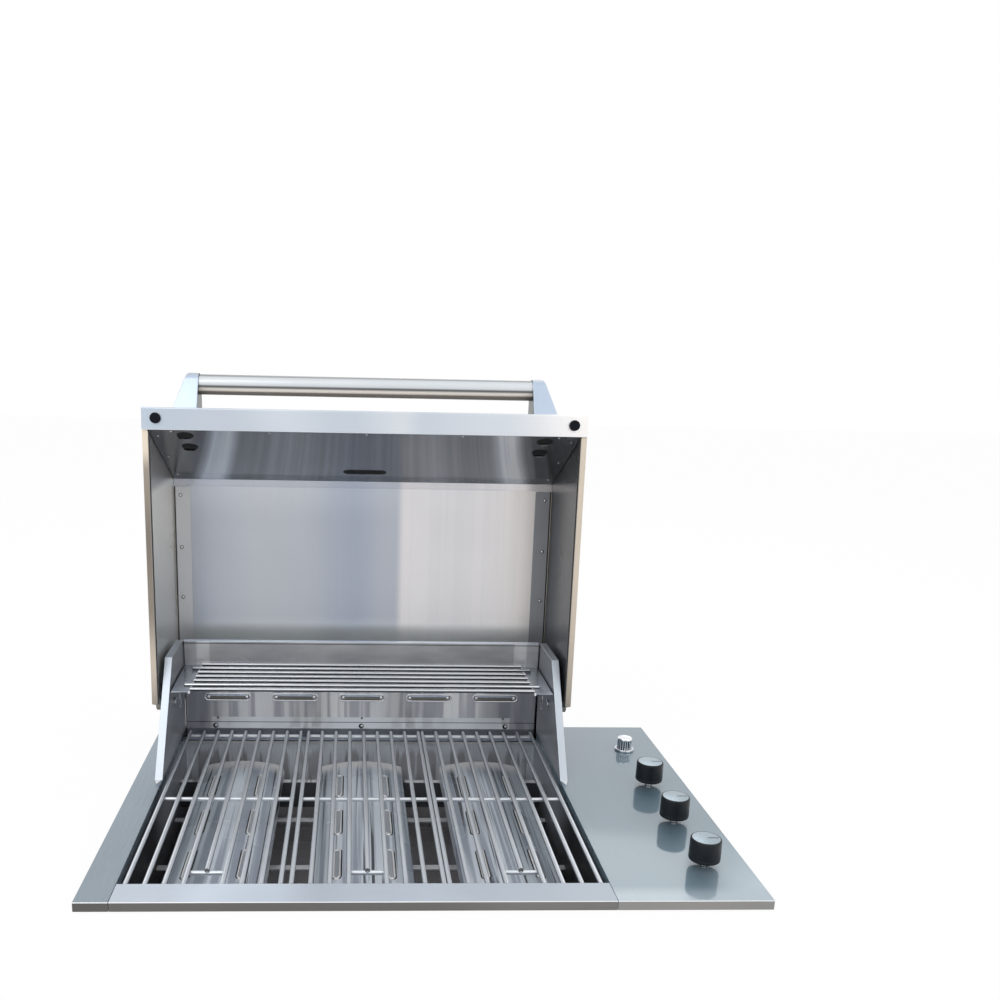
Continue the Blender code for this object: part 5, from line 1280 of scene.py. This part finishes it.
# Bracket tones are painted light on the fronts and painted shade on the sides.
BRACKET_FRONT_LIGHT_TONE = (0.52, 0.61, 0.74)
BRACKET_SHADE = (0.40, 0.42, 0.45)
BRACKET_INNER_SHADE_TONE = (0.12, 0.13, 0.13)


def handle_tone(tree):
    """Lengthwise bands of painted reflection, as a polished tube would mirror the room round it."""
    tint = mix_tone(tree, facing(tree, "Z", -0.5, 0.1), HANDLE_WARM_REFLECTION_TINT, HANDLE_TINT)
    return scaled(tree, tone_bands(tree, normal_on(tree, "Z"), HANDLE_REFLECTION_BANDS), tint)


def bracket_tone(tree):
    """Front faces painted light between sides painted with shade, darkest where they face each other."""
    tone = mix_tone(tree, span(tree, outward_x(tree), -0.10, -0.18), BRACKET_SHADE, BRACKET_INNER_SHADE_TONE)
    return mix_tone(tree, facing(tree, "Y", -0.2, -0.7), tone, BRACKET_FRONT_LIGHT_TONE)


dress("handle_tube", steel("handle_steel", handle_tone, ALONG_X, 0.28, 0.01, 0.02, metallic=0.40))
dress("handle_bracket_left handle_bracket_right",
      steel("bracket_steel", bracket_tone, ALONG_Z, 0.32, 0.04, 0.06), 0.0010, 3)

# ---- Bumpers ----
# Two black rubber buttons on the hood's lip land on the flange as it shuts.
# Each is moulded with a rounded rim.
RUBBER_TONE = (0.005, 0.006, 0.010)
bumper_rubber = plain_paint("bumper_rubber", RUBBER_TONE, 0.7, 0.0, 0.25, 220.0, {"Specular IOR Level": 0.15})
dress("bumper_left bumper_right", bumper_rubber, 0.0009, 3)

# ---- Thermometer ----
# A polished case with a rolled rim holds a black dial under a flat glass. Its
# needle turns about the case's middle.
CASE_TONE = (0.72, 0.73, 0.75)
DIAL_TONE = (0.012, 0.012, 0.013)
MARK_TONE = (0.80, 0.80, 0.78)
NEEDLE_TONE = (0.55, 0.035, 0.03)
GLASS_TONE = (0.97, 0.98, 1.0)
GLASS_SOCKETS = {"Transmission Weight": 1.0, "IOR": 1.15}
DIAL_AT = Vector((0.0, 0.28623, 0.70181))
DIAL_OUT = Vector((0.0, 0.42364, 0.90583))
DIAL_UP = Vector((0.0, 0.90583, -0.42364))
DIAL_FACE = 0.0044
DIAL_START = 222.0
DIAL_SWEEP = 255.0
DIAL_LABELS = 8
DIAL_RINGS = ((0.0222, 0.0034, 100), (0.0148, 0.0026, 50))
DIAL_ARC_R = 0.0186
DIAL_ARC_W = 0.0004
DIAL_TICKS = 42
DIAL_TICK_L = 0.0010
DIGIT_SIZE = 1.38


def on_dial(across, along, up=0.0):
    """A spot on the dial: across to its right, along to its top."""
    return DIAL_AT + DIAL_OUT * (DIAL_FACE + up) + DIAL_UP * along + Vector((across, 0.0, 0.0))


def printed_number(number, middle_x, middle_y, height, turn):
    """The flat mesh of a number, centred and turned on the dial."""
    words = bpy.data.curves.new("number", "FONT")
    words.body = str(number)
    words.size = height * DIGIT_SIZE
    words.align_x = "CENTER"
    words.align_y = "CENTER"
    shown = bpy.data.objects.new("number", words)
    mesh = bpy.data.meshes.new_from_object(shown)
    spots = []
    for v in mesh.vertices:
        x = v.co.x * math.cos(turn) - v.co.y * math.sin(turn)
        y = v.co.x * math.sin(turn) + v.co.y * math.cos(turn)
        spots.append(on_dial(middle_x + x, middle_y + y))
    faces = [tuple(f.vertices) for f in mesh.polygons]
    bpy.data.objects.remove(shown)
    bpy.data.curves.remove(words)
    bpy.data.meshes.remove(mesh)
    return spots, faces


def printed_bar(turn, low, high, width):
    """A tick or a short stretch of the arc, printed between two radii."""
    half = width / 2
    spots = []
    for radius, side in ((low, -half), (high, -half), (high, half), (low, half)):
        spots.append(on_dial(radius * math.cos(turn) - side * math.sin(turn),
                             radius * math.sin(turn) + side * math.cos(turn)))
    return spots, [(0, 1, 2, 3)]


prints = []
for k in range(DIAL_LABELS):
    turn = math.radians(DIAL_START - DIAL_SWEEP * k / (DIAL_LABELS - 1))
    for radius, height, step in DIAL_RINGS:
        prints.append(printed_number((k + 1) * step, radius * math.cos(turn), radius * math.sin(turn), height,
                                     turn - math.pi / 2))
step = math.radians(DIAL_SWEEP / DIAL_TICKS)
for k in range(DIAL_TICKS + 1):
    turn = math.radians(DIAL_START) - step * k
    prints.append(printed_bar(turn, DIAL_ARC_R, DIAL_ARC_R + DIAL_TICK_L, DIAL_ARC_W))
    if k < DIAL_TICKS:
        prints.append(printed_bar(turn - step / 2, DIAL_ARC_R - DIAL_ARC_W, DIAL_ARC_R, step * DIAL_ARC_R))
numbers = gather("dial_numbers", prints, plain_paint("dial_white", MARK_TONE, 0.6, 0.0, 0.05, 300.0))
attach(numbers, "hood")
dress("thermometer_case", steel("case_chrome", CASE_TONE, (200.0, 200.0, 200.0), 0.12, 0.02, 0.06),
      0.0009, 3)
dress("thermometer_dial", plain_paint("dial_black", DIAL_TONE, 0.55, 0.0, 0.2, 300.0))
dress("thermometer_needle", plain_paint("needle_red", NEEDLE_TONE, 0.4, 0.0, 0.08, 500.0))
dress("thermometer_lens", plain_paint("lens_glass", GLASS_TONE, 0.03, 0.0, 0.01, 90.0, GLASS_SOCKETS))
